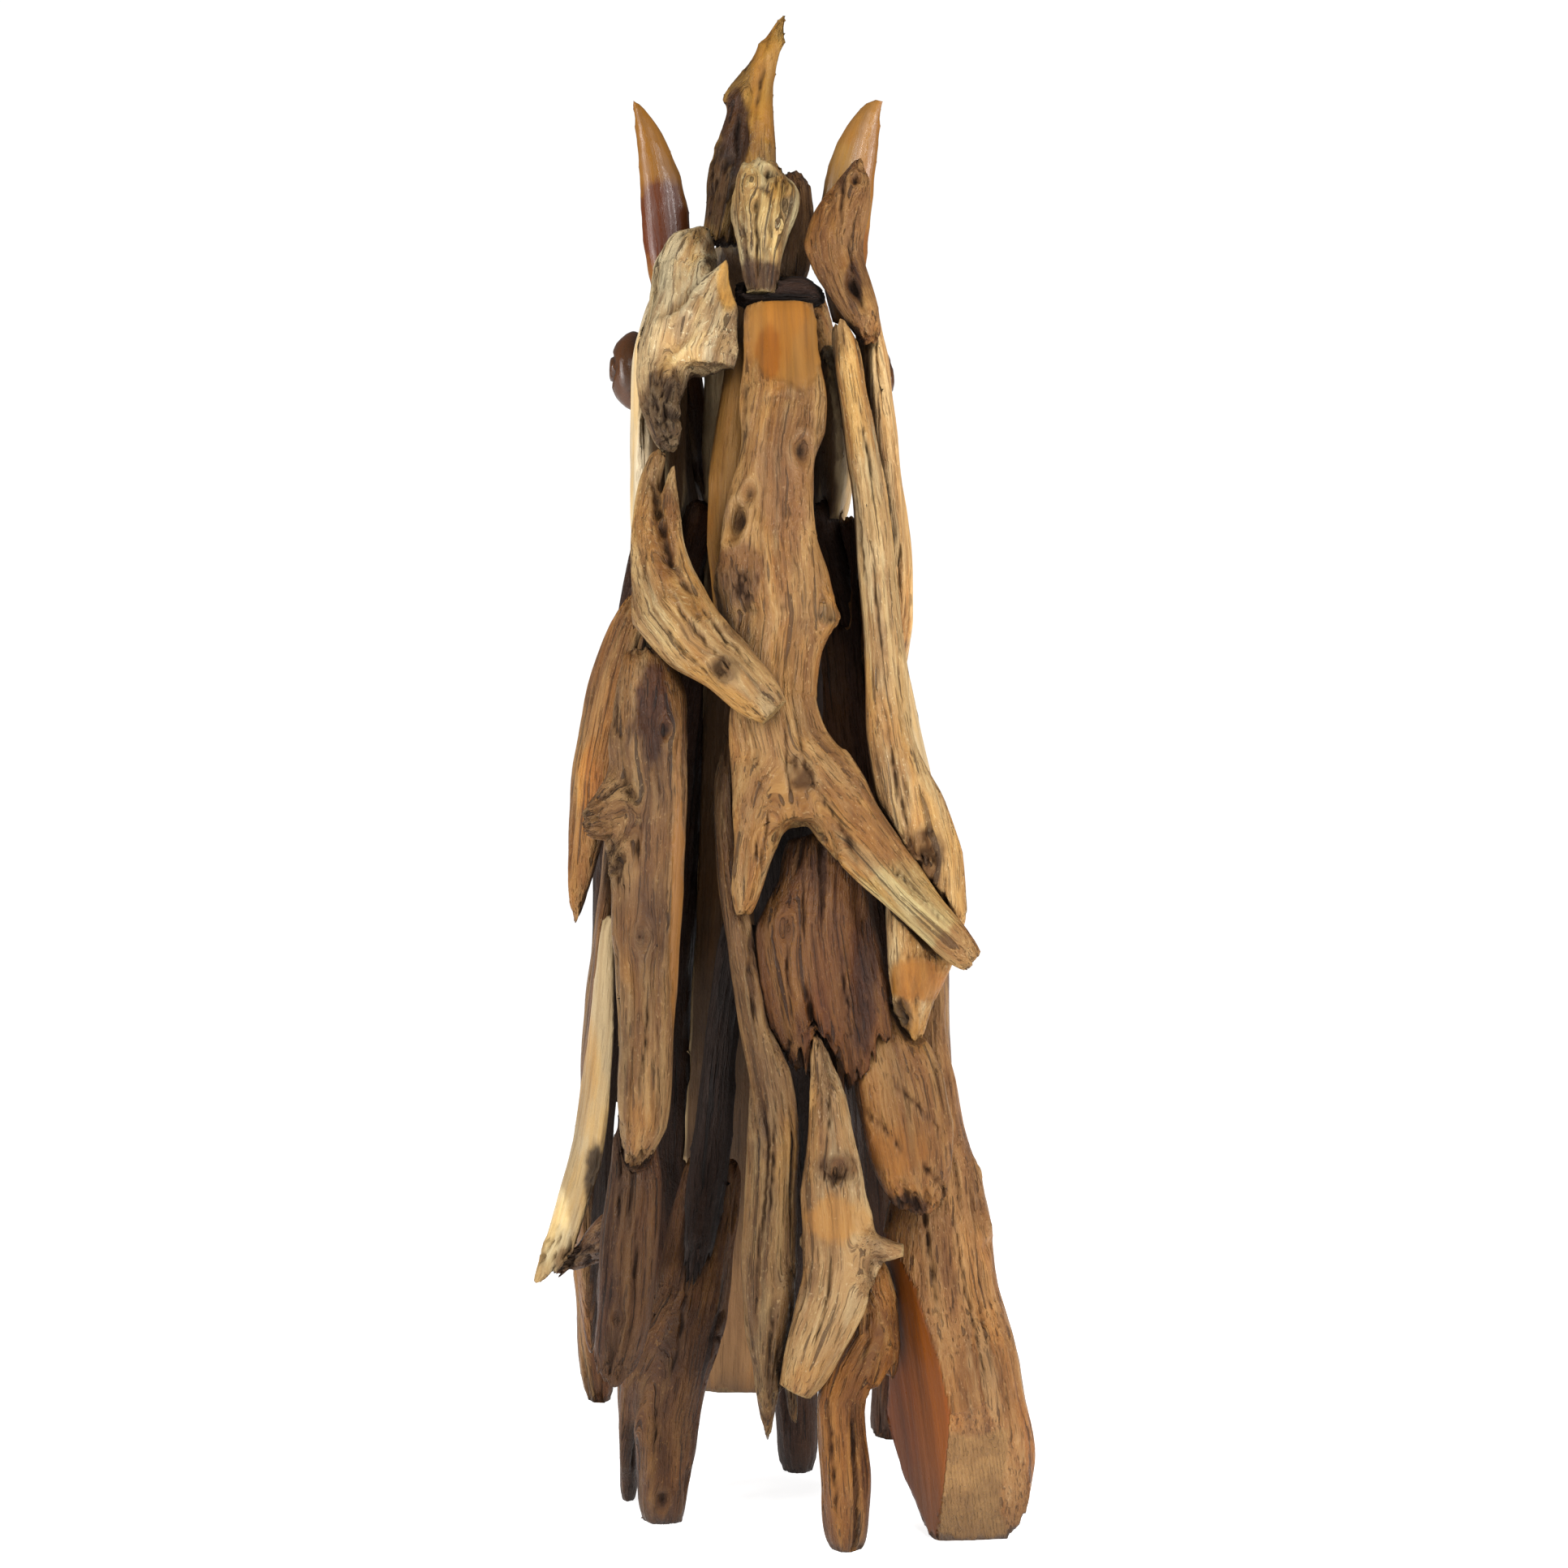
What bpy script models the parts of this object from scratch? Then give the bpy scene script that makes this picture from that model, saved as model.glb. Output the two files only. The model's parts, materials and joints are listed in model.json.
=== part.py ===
"""A tall horse head and neck built of driftwood: fifty-three separate teak roots, planks and legs.

Blender, metres, +Z up. The horse looks along +Y, so the mane faces -Y. The origin is on the floor,
in the middle of the sculpture's footprint. Run it with blender --background --python part.py
"""

import math

import bmesh
import bpy
from mathutils import Matrix, Vector

# Driving dimensions, in metres
HEIGHT = 2.03  # floor to the tip of the forelock root
CLEARANCE = 0.0005  # left around each piece where a neighbour is scribed to it

# The stations below are in millimetres of a sculpture this tall, and follow HEIGHT
DRAWN_HEIGHT = 2030.0
DRAWN = HEIGHT / DRAWN_HEIGHT
# The middle of the footprint, in the same millimetres
MIDDLE_X = -6.0
MIDDLE_Y = 122.0

SIDES = 8  # corners of a limb's section
HEAD_X = -46.0  # the head's own middle, which leans a little to the left of the neck's

# The ways a broad side can look
BACK = (0, -1, 0)
FRONT = (0, 1, 0)
LEFT = (-1, 0, 0)
RIGHT = (1, 0, 0)
BACK_LEFT = (-0.85, -0.53, 0)
FRONT_LEFT = (-0.55, 0.83, 0)
FRONT_RIGHT = (0.55, 0.83, 0)
BROW = (0, 0.74, 0.67)

# Colours of the wood, with roughness
TONES = {
    "weathered_teak": ((0.36, 0.22, 0.12), 0.75),
    "golden_teak": ((0.50, 0.31, 0.15), 0.6),
    "pale_teak": ((0.66, 0.50, 0.32), 0.5),
    "dark_teak": ((0.20, 0.12, 0.07), 0.8),
    "polished_teak": ((0.52, 0.30, 0.14), 0.35),
    "eye_teak": ((0.18, 0.09, 0.04), 0.3),
}


def mirrored(limb):
    """The same limb on the right of the head, reflected in the head's middle."""
    return [(2 * HEAD_X - x, *rest) for x, *rest in limb]


# The pieces, the outermost first: where two meet, the later one is scribed to the earlier.
# A piece has a name, a wood, the way its broad side looks, and its limbs. A limb is a row of
# stations: x, y and z of its heart line, half its breadth, and half its thickness.
PIECES = [
    ("curved_mane_branch", "golden_teak", BACK, [
        [(-158, -198, 1390, 12, 12), (-176, -212, 1340, 15, 16), (-178, -228, 1290, 18, 18),
         (-170, -245, 1238, 31, 22), (-150, -268, 1182, 54, 25), (-110, -290, 1132, 47, 27),
         (-72, -306, 1102, 38, 26), (-36, -317, 1064, 34, 24), (-12, -321, 1040, 26, 20)],
        [(-142, -232, 1364, 3, 4), (-148, -236, 1320, 12, 12), (-145, -242, 1270, 18, 17),
         (-135, -252, 1225, 22, 20), (-118, -266, 1180, 26, 20)],
    ]),
    ("poll_stub", "weathered_teak", BACK, [
        [(-26, -62, 1797, 33, 22), (-23, -77, 1757, 45, 30), (-29, -86, 1724, 42, 33),
         (-33, -94, 1694, 37, 32), (-32, -99, 1652, 30, 28), (-33, -102, 1611, 28, 26)],
    ]),
    ("root_foot", "golden_teak", BACK, [
        [(40, -322, 645, 7, 9), (58, -334, 555, 27, 24), (61, -338, 505, 31, 28),
         (63, -340, 455, 40, 30), (70, -343, 362, 49, 31), (62, -345, 318, 44, 30),
         (30, -349, 232, 31, 26), (16, -351, 199, 25, 21)],
        [(92, -340, 378, 24, 20), (122, -344, 374, 18, 16), (148, -348, 375, 9, 9)],
    ]),
    ("centre_mane_root", "golden_teak", BACK, [
        [(-6, -110, 1592, 54, 24), (-3, -135, 1530, 53, 26), (0, -162, 1468, 60, 28),
         (-3, -175, 1425, 59, 30), (-11, -187, 1380, 49, 32), (-18, -200, 1325, 57, 34),
         (-17, -216, 1268, 62, 35), (-14, -232, 1212, 75, 36), (-6, -242, 1165, 77, 35),
         (-14, -253, 1118, 58, 33), (-16, -264, 1060, 56, 32), (-8, -274, 1005, 65, 33),
         (10, -284, 950, 80, 33), (22, -292, 902, 82, 28)],
        [(-24, -284, 935, 42, 30), (-36, -297, 878, 28, 26), (-46, -310, 830, 21, 22),
         (-52, -318, 784, 13, 16)],
        [(40, -280, 975, 48, 30), (78, -296, 906, 45, 30), (150, -322, 821, 32, 26),
         (212, -341, 752, 25, 22), (236, -345, 728, 17, 17)],
    ]),
    ("upper_left_root", "weathered_teak", BACK, [
        [(-106, -34, 1718, 14, 15), (-125, -48, 1690, 34, 26), (-136, -68, 1648, 46, 32),
         (-141, -95, 1598, 45, 34), (-151, -118, 1548, 43, 34), (-162, -142, 1498, 34, 32),
         (-162, -164, 1446, 27, 28), (-152, -180, 1404, 22, 24), (-148, -186, 1387, 13, 14)],
        [(-77, -98, 1661, 5, 7), (-100, -110, 1598, 35, 20), (-114, -124, 1560, 53, 24),
         (-122, -142, 1524, 61, 25), (-122, -152, 1500, 60, 22)],
    ]),
    ("upper_right_root", "weathered_teak", BACK, [
        [(103, -70, 1811, 5, 6), (99, -73, 1785, 17, 14), (91, -78, 1750, 31, 20),
         (73, -84, 1712, 37, 24), (63, -90, 1680, 41, 26), (73, -97, 1648, 38, 27),
         (105, -114, 1578, 30, 25), (118, -122, 1542, 16, 15)],
    ]),
    ("left_mane_trunk", "weathered_teak", BACK, [
        [(-176, -250, 1126, 30, 20), (-172, -262, 1060, 48, 28), (-173, -276, 1000, 54, 31),
         (-168, -288, 935, 47, 31), (-173, -304, 825, 48, 31), (-172, -318, 675, 36, 31),
         (-174, -327, 530, 31, 27), (-180, -330, 492, 21, 22), (-189, -331, 472, 9, 12)],
        [(-200, -285, 930, 36, 26), (-228, -301, 906, 28, 23), (-252, -314, 897, 18, 17)],
    ]),
    ("left_lower_plank", "weathered_teak", BACK, [
        [(-208, -306, 556, 8, 10), (-190, -306, 508, 30, 20), (-187, -312, 450, 38, 25),
         (-195, -321, 340, 40, 26), (-198, -323, 290, 37, 25), (-206, -325, 250, 36, 23),
         (-210, -326, 220, 29, 19), (-212, -326, 199, 14, 12)],
    ]),
    ("right_mane_plank", "golden_teak", BACK, [
        [(80, -112, 1574, 18, 18), (88, -145, 1490, 19, 21), (102, -176, 1400, 22, 24),
         (116, -204, 1300, 25, 26), (125, -230, 1200, 26, 27), (138, -274, 1000, 31, 28),
         (158, -290, 925, 45, 29), (174, -300, 858, 53, 30), (180, -306, 795, 53, 30),
         (167, -309, 715, 38, 29), (162, -310, 664, 26, 25), (166, -310, 624, 8, 16)],
    ]),
    ("right_cross_wedge", "golden_teak", BACK, [
        [(116, -286, 672, 28, 20), (131, -298, 622, 50, 25), (146, -309, 570, 60, 28),
         (156, -317, 518, 58, 29), (163, -323, 468, 49, 27), (170, -327, 432, 36, 21),
         (173, -328, 412, 13, 12)],
    ]),
    ("centre_leg", "weathered_teak", BACK, [
        [(105, -296, 352, 20, 18), (113, -302, 304, 30, 25), (106, -308, 262, 40, 27),
         (84, -314, 222, 39, 28), (71, -319, 180, 31, 29), (75, -328, 78, 33, 28),
         (80, -330, -8, 24, 24)],
        [(124, -305, 286, 21, 18), (137, -307, 244, 13, 14), (137, -308, 203, 8, 10)],
    ]),
    ("centre_left_plank", "weathered_teak", BACK, [
        [(-72, -232, 1018, 9, 13), (-75, -250, 955, 17, 20), (-73, -264, 890, 19, 23),
         (-53, -298, 725, 16, 25), (-38, -308, 645, 18, 25), (-16, -316, 580, 27, 25),
         (-12, -322, 505, 35, 26), (-18, -330, 340, 36, 25), (-21, -332, 270, 30, 24),
         (-21, -334, 200, 20, 20), (-21, -335, 130, 5, 7)],
        [(6, -326, 310, 14, 14), (10, -324, 230, 13, 13), (12, -322, 150, 9, 9)],
    ]),
    ("centre_lower_slab", "weathered_teak", BACK, [
        [(44, -258, 888, 44, 22), (52, -275, 826, 60, 26), (41, -292, 764, 80, 28),
         (42, -302, 704, 84, 28), (56, -308, 652, 88, 28), (86, -311, 608, 66, 24),
         (104, -313, 580, 48, 18), (108, -314, 556, 38, 9)],
    ]),
    ("left_flare_plank", "pale_teak", BACK_LEFT, [
        [(-226, -232, 782, 18, 6), (-236, -228, 624, 36, 9), (-247, -225, 530, 46, 9),
         (-256, -223, 470, 44, 9), (-288, -222, 360, 38, 10), (-309, -226, 325, 22, 8),
         (-328, -228, 303, 6, 4)],
    ]),
    ("left_flare_root", "weathered_teak", BACK, [
        [(-206, -281, 392, 26, 34), (-244, -238, 354, 24, 22), (-278, -221, 329, 14, 11),
         (-302, -224, 316, 8, 7)],
    ]),
    ("left_inner_plank", "dark_teak", BACK, [
        [(-58, -150, 770, 28, 20), (-80, -186, 640, 26, 18), (-97, -226, 440, 30, 19),
         (-107, -234, 360, 24, 17), (-125, -239, 292, 6, 8)],
    ]),
    ("right_leg", "golden_teak", BACK, [
        [(190, -228, 740, 20, 20), (188, -238, 640, 25, 26), (190, -250, 505, 40, 36),
         (197, -256, 455, 57, 44), (196, -262, 385, 70, 54), (197, -268, 300, 74, 64),
         (214, -274, 235, 81, 76), (219, -280, 160, 87, 80), (235, -284, 90, 86, 76),
         (238, -287, 40, 72, 66), (229, -291, -8, 47, 50)],
    ]),
    ("left_leg", "weathered_teak", BACK, [
        [(-92, -182, 462, 36, 26), (-104, -190, 390, 44, 30), (-118, -200, 305, 48, 33),
         (-135, -209, 222, 50, 33), (-150, -216, 140, 46, 33), (-158, -223, 30, 34, 28),
         (-158, -223, -8, 31, 26)],
        [(-176, -208, 245, 28, 24), (-194, -192, 165, 24, 26), (-205, -168, 100, 17, 24),
         (-208, -150, 40, 13, 16), (-208, -145, -8, 11, 12)],
    ]),
    ("centre_backing_plank", "pale_teak", BACK, [
        [(-48, -88, 1548, 30, 19), (-64, -128, 1360, 39, 23), (-67, -148, 1270, 38, 24),
         (-52, -190, 1100, 32, 20)],
    ]),
    ("crest_root", "golden_teak", BACK, [
        [(-36, -16, 1762, 26, 20), (-30, -15, 1812, 26, 20), (-28, -9, 1904, 18, 16),
         (-23, -6, 1968, 20, 14), (1, 0, 2027, 8, 7)],
        [(-24, -5, 1966, 12, 9), (-50, -2, 1936, 18, 11), (-72, 0, 1914, 15, 11),
         (-86, 2, 1906, 8, 8)],
        [(-52, 2, 1908, 16, 12), (-68, 4, 1835, 34, 20), (-80, 6, 1785, 33, 22),
         (-92, 0, 1700, 32, 20)],
    ]),
    ("poll_block", "weathered_teak", BACK, [
        [(8, -4, 1806, 22, 18), (13, -6, 1780, 30, 25), (14, -10, 1740, 32, 27),
         (4, -24, 1645, 28, 25)],
    ]),
    ("poll_shelf", "dark_teak", BACK, [
        [(-68, -78, 1618, 18, 34), (-22, -82, 1620, 24, 38), (24, -82, 1618, 24, 38),
         (60, -76, 1613, 17, 32)],
    ]),
    ("left_ear", "polished_teak", BACK, [
        [(-158, 10, 1594, 22, 20), (-160, 12, 1650, 29, 22), (-164, 10, 1712, 36, 21),
         (-167, 8, 1754, 36, 20), (-173, 7, 1796, 32, 18), (-184, 6, 1838, 25, 15),
         (-193, 6, 1868, 19, 12), (-204, 6, 1894, 10, 8), (-213, 6, 1908, 3, 4)],
    ]),
    ("right_ear", "polished_teak", BACK, [
        [(92, 8, 1592, 24, 20), (84, 12, 1650, 30, 22), (84, 10, 1712, 37, 21),
         (88, 8, 1766, 40, 20), (94, 7, 1808, 37, 18), (104, 6, 1842, 33, 15),
         (114, 6, 1872, 26, 12), (125, 6, 1894, 17, 9), (141, 6, 1912, 4, 4)],
    ]),
    ("left_throat_root", "weathered_teak", LEFT, [
        [(-190, 6, 1345, 22, 16), (-214, -4, 1150, 38, 24), (-240, 8, 940, 40, 25),
         (-252, 60, 700, 40, 25), (-268, 98, 450, 42, 26), (-262, 124, 205, 12, 10)],
    ]),
    ("right_throat_root", "weathered_teak", RIGHT, [
        [(120, 10, 1340, 22, 16), (150, -2, 1100, 40, 25), (172, 6, 980, 40, 25),
         (194, 40, 800, 38, 25), (208, 84, 560, 42, 26), (222, 104, 400, 44, 28),
         (250, 120, -8, 34, 28)],
    ]),
    ("left_chest_root", "golden_teak", FRONT_LEFT, [
        [(-118, 100, 1360, 24, 18), (-178, 164, 1120, 36, 24), (-232, 240, 790, 36, 25),
         (-256, 304, 460, 12, 12)],
    ]),
    ("right_chest_root", "weathered_teak", FRONT_RIGHT, [
        [(46, 100, 1360, 24, 18), (110, 164, 1120, 36, 24), (172, 240, 790, 36, 25),
         (196, 302, 470, 12, 12)],
    ]),
    ("left_neck_upper", "pale_teak", LEFT, [
        [(-172, -20, 1618, 52, 17), (-188, -34, 1530, 84, 21), (-187, -56, 1400, 94, 22),
         (-186, -78, 1300, 90, 21), (-182, -100, 1190, 76, 20), (-184, -114, 1110, 44, 14)],
    ]),
    ("right_neck_side", "golden_teak", RIGHT, [
        [(112, -22, 1618, 40, 16), (122, -38, 1530, 78, 20), (132, -58, 1420, 90, 21),
         (151, -98, 1240, 84, 22), (152, -116, 1160, 70, 20), (146, -130, 1080, 36, 14)],
    ]),
    ("left_neck_plank", "golden_teak", BACK_LEFT, [
        [(-190, -150, 1206, 30, 13), (-210, -160, 1150, 54, 17), (-229, -170, 1080, 62, 18),
         (-250, -184, 965, 60, 18), (-260, -194, 870, 44, 16), (-266, -204, 812, 24, 12),
         (-272, -208, 766, 8, 7)],
    ]),
    ("right_flank_plank", "pale_teak", RIGHT, [
        [(144, -114, 1165, 36, 14), (149, -132, 1090, 58, 18), (164, -147, 1010, 66, 19),
         (197, -163, 850, 62, 19), (196, -162, 710, 34, 15)],
    ]),
    ("left_side_plank", "weathered_teak", LEFT, [
        [(-202, -92, 1050, 28, 12), (-216, -86, 940, 66, 16), (-238, -66, 780, 98, 18),
         (-260, -49, 560, 104, 19), (-266, -34, 300, 86, 18), (-262, -30, 165, 44, 13)],
    ]),
    ("right_side_plank", "weathered_teak", RIGHT, [
        [(166, -72, 1040, 28, 12), (188, -48, 900, 66, 16), (204, -38, 740, 98, 19),
         (213, -27, 490, 98, 19), (210, -10, 340, 70, 17), (202, 6, 250, 28, 11)],
    ]),
    ("left_shoulder_plank", "golden_teak", LEFT, [
        [(-180, 66, 1360, 62, 16), (-212, 106, 1100, 92, 21), (-254, 155, 760, 88, 22),
         (-270, 174, 575, 52, 13)],
    ]),
    ("right_shoulder_plank", "golden_teak", RIGHT, [
        [(122, 56, 1345, 54, 16), (158, 102, 1095, 96, 20), (181, 139, 890, 98, 21),
         (204, 166, 690, 76, 20), (212, 176, 570, 36, 13)],
    ]),
    ("left_front_leg", "golden_teak", LEFT, [
        [(-262, 236, 640, 36, 20), (-284, 276, 470, 54, 26), (-300, 322, 220, 55, 28),
         (-284, 338, -8, 40, 26)],
    ]),
    ("right_front_leg", "weathered_teak", RIGHT, [
        [(204, 118, 640, 40, 20), (198, 134, 380, 52, 30), (164, 148, 110, 44, 36),
         (156, 150, -8, 40, 35)],
    ]),
    ("front_left_plank", "weathered_teak", FRONT_LEFT, [
        [(-134, 118, 1335, 52, 18), (-144, 168, 1140, 66, 22), (-178, 264, 740, 76, 26),
         (-196, 332, 375, 68, 27), (-200, 378, -8, 50, 26)],
    ]),
    ("front_right_plank", "golden_teak", FRONT_RIGHT, [
        [(60, 116, 1345, 56, 18), (68, 166, 1140, 66, 22), (124, 256, 740, 78, 26),
         (162, 310, 375, 72, 27), (180, 340, -8, 52, 26)],
    ]),
    ("front_centre_plank", "pale_teak", FRONT, [
        [(HEAD_X, 54, 1555, 76, 17), (HEAD_X, 88, 1395, 78, 21), (-42, 128, 1250, 78, 24),
         (-37, 202, 980, 94, 27), (-60, 336, 370, 98, 31), (-72, 384, -8, 76, 30)],
    ]),
    ("heart_post", "dark_teak", BACK, [
        [(-6, -96, 1560, 44, 30), (2, -148, 980, 51, 39), (14, -80, 420, 48, 39),
         (20, -14, -8, 28, 28)],
    ]),
    ("nose_bridge", "pale_teak", BROW, [
        [(HEAD_X, 0, 1722, 42, 18), (HEAD_X, 104, 1696, 70, 23), (HEAD_X, 205, 1616, 78, 25),
         (HEAD_X, 390, 1408, 54, 23), (HEAD_X, 535, 1232, 44, 22)],
    ]),
    ("left_eye", "eye_teak", LEFT, [
        [(-210, 119, 1606, 9, 14), (-220, 117, 1582, 30, 28), (-223, 114, 1550, 40, 34),
         (-220, 111, 1518, 32, 28), (-210, 109, 1494, 9, 14)],
    ]),
    ("right_eye", "eye_teak", RIGHT, [
        [(122, 120, 1592, 9, 14), (128, 118, 1568, 30, 28), (130, 115, 1536, 40, 32),
         (128, 112, 1504, 32, 28), (122, 110, 1480, 9, 14)],
    ]),
    ("left_face_plank", "golden_teak", LEFT, [
        [(-134, 112, 1650, 46, 20), (-150, 178, 1576, 60, 25), (-138, 262, 1482, 54, 25),
         (-118, 345, 1388, 50, 23), (-97, 492, 1216, 46, 20)],
    ]),
    ("right_face_plank", "golden_teak", RIGHT, [
        mirrored([(-134, 112, 1650, 46, 20), (-150, 178, 1576, 60, 25),
                  (-138, 262, 1482, 54, 25), (-118, 345, 1388, 50, 23), (-97, 492, 1216, 46, 20)]),
    ]),
    ("muzzle", "polished_teak", BROW, [
        [(HEAD_X, 462, 1222, 58, 56), (HEAD_X, 512, 1186, 68, 62), (HEAD_X, 556, 1146, 67, 56),
         (HEAD_X, 584, 1108, 54, 42), (HEAD_X, 596, 1082, 32, 24)],
    ]),
    ("left_cheek", "pale_teak", LEFT, [
        [(-154, 42, 1568, 36, 16), (-166, 82, 1508, 88, 25), (-169, 132, 1442, 114, 28),
         (-160, 188, 1376, 108, 27), (-140, 244, 1314, 72, 23), (-124, 282, 1276, 32, 15)],
    ]),
    ("right_cheek", "pale_teak", RIGHT, [
        mirrored([(-154, 42, 1568, 36, 16), (-166, 82, 1508, 88, 25), (-169, 132, 1442, 114, 28),
                  (-160, 188, 1376, 108, 27), (-140, 244, 1314, 72, 23),
                  (-124, 282, 1276, 32, 15)]),
    ]),
    ("left_jaw_bar", "weathered_teak", LEFT, [
        [(-112, 258, 1300, 54, 20), (-86, 400, 1176, 50, 19), (-78, 470, 1112, 36, 17)],
    ]),
    ("right_jaw_bar", "weathered_teak", RIGHT, [
        mirrored([(-112, 258, 1300, 54, 20), (-86, 400, 1176, 50, 19), (-78, 470, 1112, 36, 17)]),
    ]),
    ("chin", "golden_teak", BROW, [
        [(HEAD_X, 428, 1112, 30, 24), (HEAD_X, 474, 1080, 42, 30), (HEAD_X, 520, 1052, 38, 26),
         (HEAD_X, 548, 1036, 22, 14)],
    ]),
]

# Flat sawn faces: a piece, a point of the face, and the way it looks
SAW_CUTS = {
    "right_leg": [((226, -345, 140), (0.1, -0.95, -0.25)), ((197, -350, 190), (-0.8, -0.6, -0.1))],
}

EAR_CUP = 1.35  # how far an ear's hollow reaches, as a share of its half thickness
FLATS = 1 / math.cos(math.pi / SIDES)  # the corners stand out, so that the flats keep the size


def placed(x, y, z):
    """A drawn point in metres, from the middle of the footprint."""
    return Vector((x - MIDDLE_X, y - MIDDLE_Y, z)) * DRAWN


def section(heart, across, outward, breadth, thickness, cup):
    """The corners of a limb's section: a rounded slab, cupped on the side that looks inward."""
    corners = []
    for i in range(SIDES):
        angle = math.tau * (i + 0.5) / SIDES
        side = FLATS * math.cos(angle)
        out = FLATS * math.sin(angle)
        if out < 0:
            out *= 1 - cup * (1 - side * side)
        corners.append(heart + across * side * breadth + outward * out * thickness)
    return corners


def limb_mesh(name, stations, face, cup=0.0, grow=0.0):
    """A closed skin through the sections at a limb's stations, grown by grow for a cutter."""
    hearts = [placed(x, y, z) for x, y, z, _, _ in stations]
    bm = bmesh.new()
    rings = []
    for i, (_, _, _, breadth, thickness) in enumerate(stations):
        along = (hearts[min(i + 1, len(hearts) - 1)] - hearts[max(i - 1, 0)]).normalized()
        across = along.cross(Vector(face)).normalized()
        outward = across.cross(along).normalized()
        heart = hearts[i]
        if i == 0:
            heart = heart - along * grow
        if i == len(hearts) - 1:
            heart = heart + along * grow
        corners = section(
            heart, across, outward, breadth * DRAWN + grow, thickness * DRAWN + grow, cup
        )
        rings.append([bm.verts.new(c) for c in corners])
    for first, second in zip(rings, rings[1:]):
        for i in range(SIDES):
            j = (i + 1) % SIDES
            bm.faces.new((first[i], first[j], second[j]))
            bm.faces.new((first[i], second[j], second[i]))
    bm.faces.new(reversed(rings[0]))
    bm.faces.new(rings[-1])
    bmesh.ops.recalc_face_normals(bm, faces=bm.faces)
    mesh = bpy.data.meshes.new(name)
    bm.to_mesh(mesh)
    bm.free()
    return mesh


def add_object(name, mesh):
    obj = bpy.data.objects.new(name, mesh)
    bpy.context.scene.collection.objects.link(obj)
    return obj


def apply_boolean(obj, other, operation):
    """Joins other to obj, or cuts it away, and keeps the result as obj's own mesh."""
    modifier = obj.modifiers.new(operation.title(), "BOOLEAN")
    modifier.operation = operation
    modifier.solver = "EXACT"
    modifier.object = other
    graph = bpy.context.evaluated_depsgraph_get()
    result = bpy.data.meshes.new_from_object(obj.evaluated_get(graph))
    obj.modifiers.clear()
    obj.data = result


def islands(bm):
    """The faces of a mesh, grouped by the closed skin that they belong to."""
    left = set(bm.faces)
    groups = []
    while left:
        reached = [left.pop()]
        group = set(reached)
        while reached:
            for edge in reached.pop().edges:
                for near in edge.link_faces:
                    if near in left:
                        left.remove(near)
                        group.add(near)
                        reached.append(near)
        groups.append(group)
    return groups


def drop_offcuts(obj):
    """Scribing a piece can saw a corner right off it: the offcuts fall away."""
    bm = bmesh.new()
    bm.from_mesh(obj.data)
    groups = sorted(islands(bm), key=lambda group: sum(face.calc_area() for face in group))
    offcuts = [face for group in groups[:-1] for face in group]
    bmesh.ops.delete(bm, geom=offcuts, context="FACES")
    bm.to_mesh(obj.data)
    bm.free()


def bounds(obj):
    corners = [v.co for v in obj.data.vertices]
    low = Vector([min(c[i] for c in corners) for i in range(3)])
    high = Vector([max(c[i] for c in corners) for i in range(3)])
    return low, high


def boxes_meet(a, b):
    (low_a, high_a), (low_b, high_b) = bounds(a), bounds(b)
    return all(low_a[i] < high_b[i] and low_b[i] < high_a[i] for i in range(3))


def waste(point, outward):
    """What a straight saw cut takes away: a wide block on the outward side of the point."""
    mesh = bpy.data.meshes.new("waste")
    bm = bmesh.new()
    bmesh.ops.create_cube(bm, size=2 * HEIGHT)
    turn = Vector((0, 0, 1)).rotation_difference(Vector(outward)).to_matrix().to_4x4()
    bm.transform(turn @ Matrix.Translation((0, 0, HEIGHT)))
    bm.transform(Matrix.Translation(point))
    bm.to_mesh(mesh)
    bm.free()
    return add_object("waste", mesh)


def wood(slot):
    material = bpy.data.materials.get(slot) or bpy.data.materials.new(slot)
    colour, roughness = TONES[slot]
    material.use_nodes = True
    shader = material.node_tree.nodes["Principled BSDF"]
    shader.inputs["Base Color"].default_value = (*colour, 1)
    shader.inputs["Roughness"].default_value = roughness
    shader.inputs["Metallic"].default_value = 0
    return material


def remove(obj):
    bpy.data.objects.remove(obj)


def build_piece(name, slot, face, limbs, cutters):
    """One piece: its limbs joined, sawn at the floor and scribed to the pieces outside it."""
    cup = EAR_CUP if name.endswith("_ear") else 0.0
    obj = add_object(name, limb_mesh(name, limbs[0], face, cup))
    for limb in limbs[1:]:
        branch = add_object("branch", limb_mesh("branch", limb, face))
        apply_boolean(obj, branch, "UNION")
        remove(branch)
    cuts = [waste(placed(*point), outward) for point, outward in SAW_CUTS.get(name, [])]
    if bounds(obj)[0].z < 0:
        cuts.append(waste((0, 0, 0), (0, 0, -1)))
    for cut in cuts:
        apply_boolean(obj, cut, "DIFFERENCE")
        remove(cut)
    for cutter in cutters:
        if boxes_meet(obj, cutter):
            apply_boolean(obj, cutter, "DIFFERENCE")
    drop_offcuts(obj)
    obj.data.materials.clear()
    obj.data.materials.append(wood(slot))
    for limb in limbs:
        cutters.append(add_object("cutter", limb_mesh("cutter", limb, face, 0.0, CLEARANCE)))


def main():
    for obj in list(bpy.data.objects):
        bpy.data.objects.remove(obj)
    cutters = []
    for name, slot, face, limbs in PIECES:
        build_piece(name, slot, face, limbs, cutters)
    for cutter in cutters:
        remove(cutter)


main()
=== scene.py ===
"""The looks of the driftwood horse head: each CAD solid becomes a carved piece of weathered teak.

A solid gets a fine skin, whose faces run long with the grain. Its facets are smoothed, ridges, furrows,
cracks, knots and broken ends are carved into it, and what was carved is kept in the mesh for the
materials to read. Places in space are in millimetres, as part.py draws them. Places with two numbers
are read from the photograph, in its pixels from the middle and from the foot.
"""

import itertools
import json
import math

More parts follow.
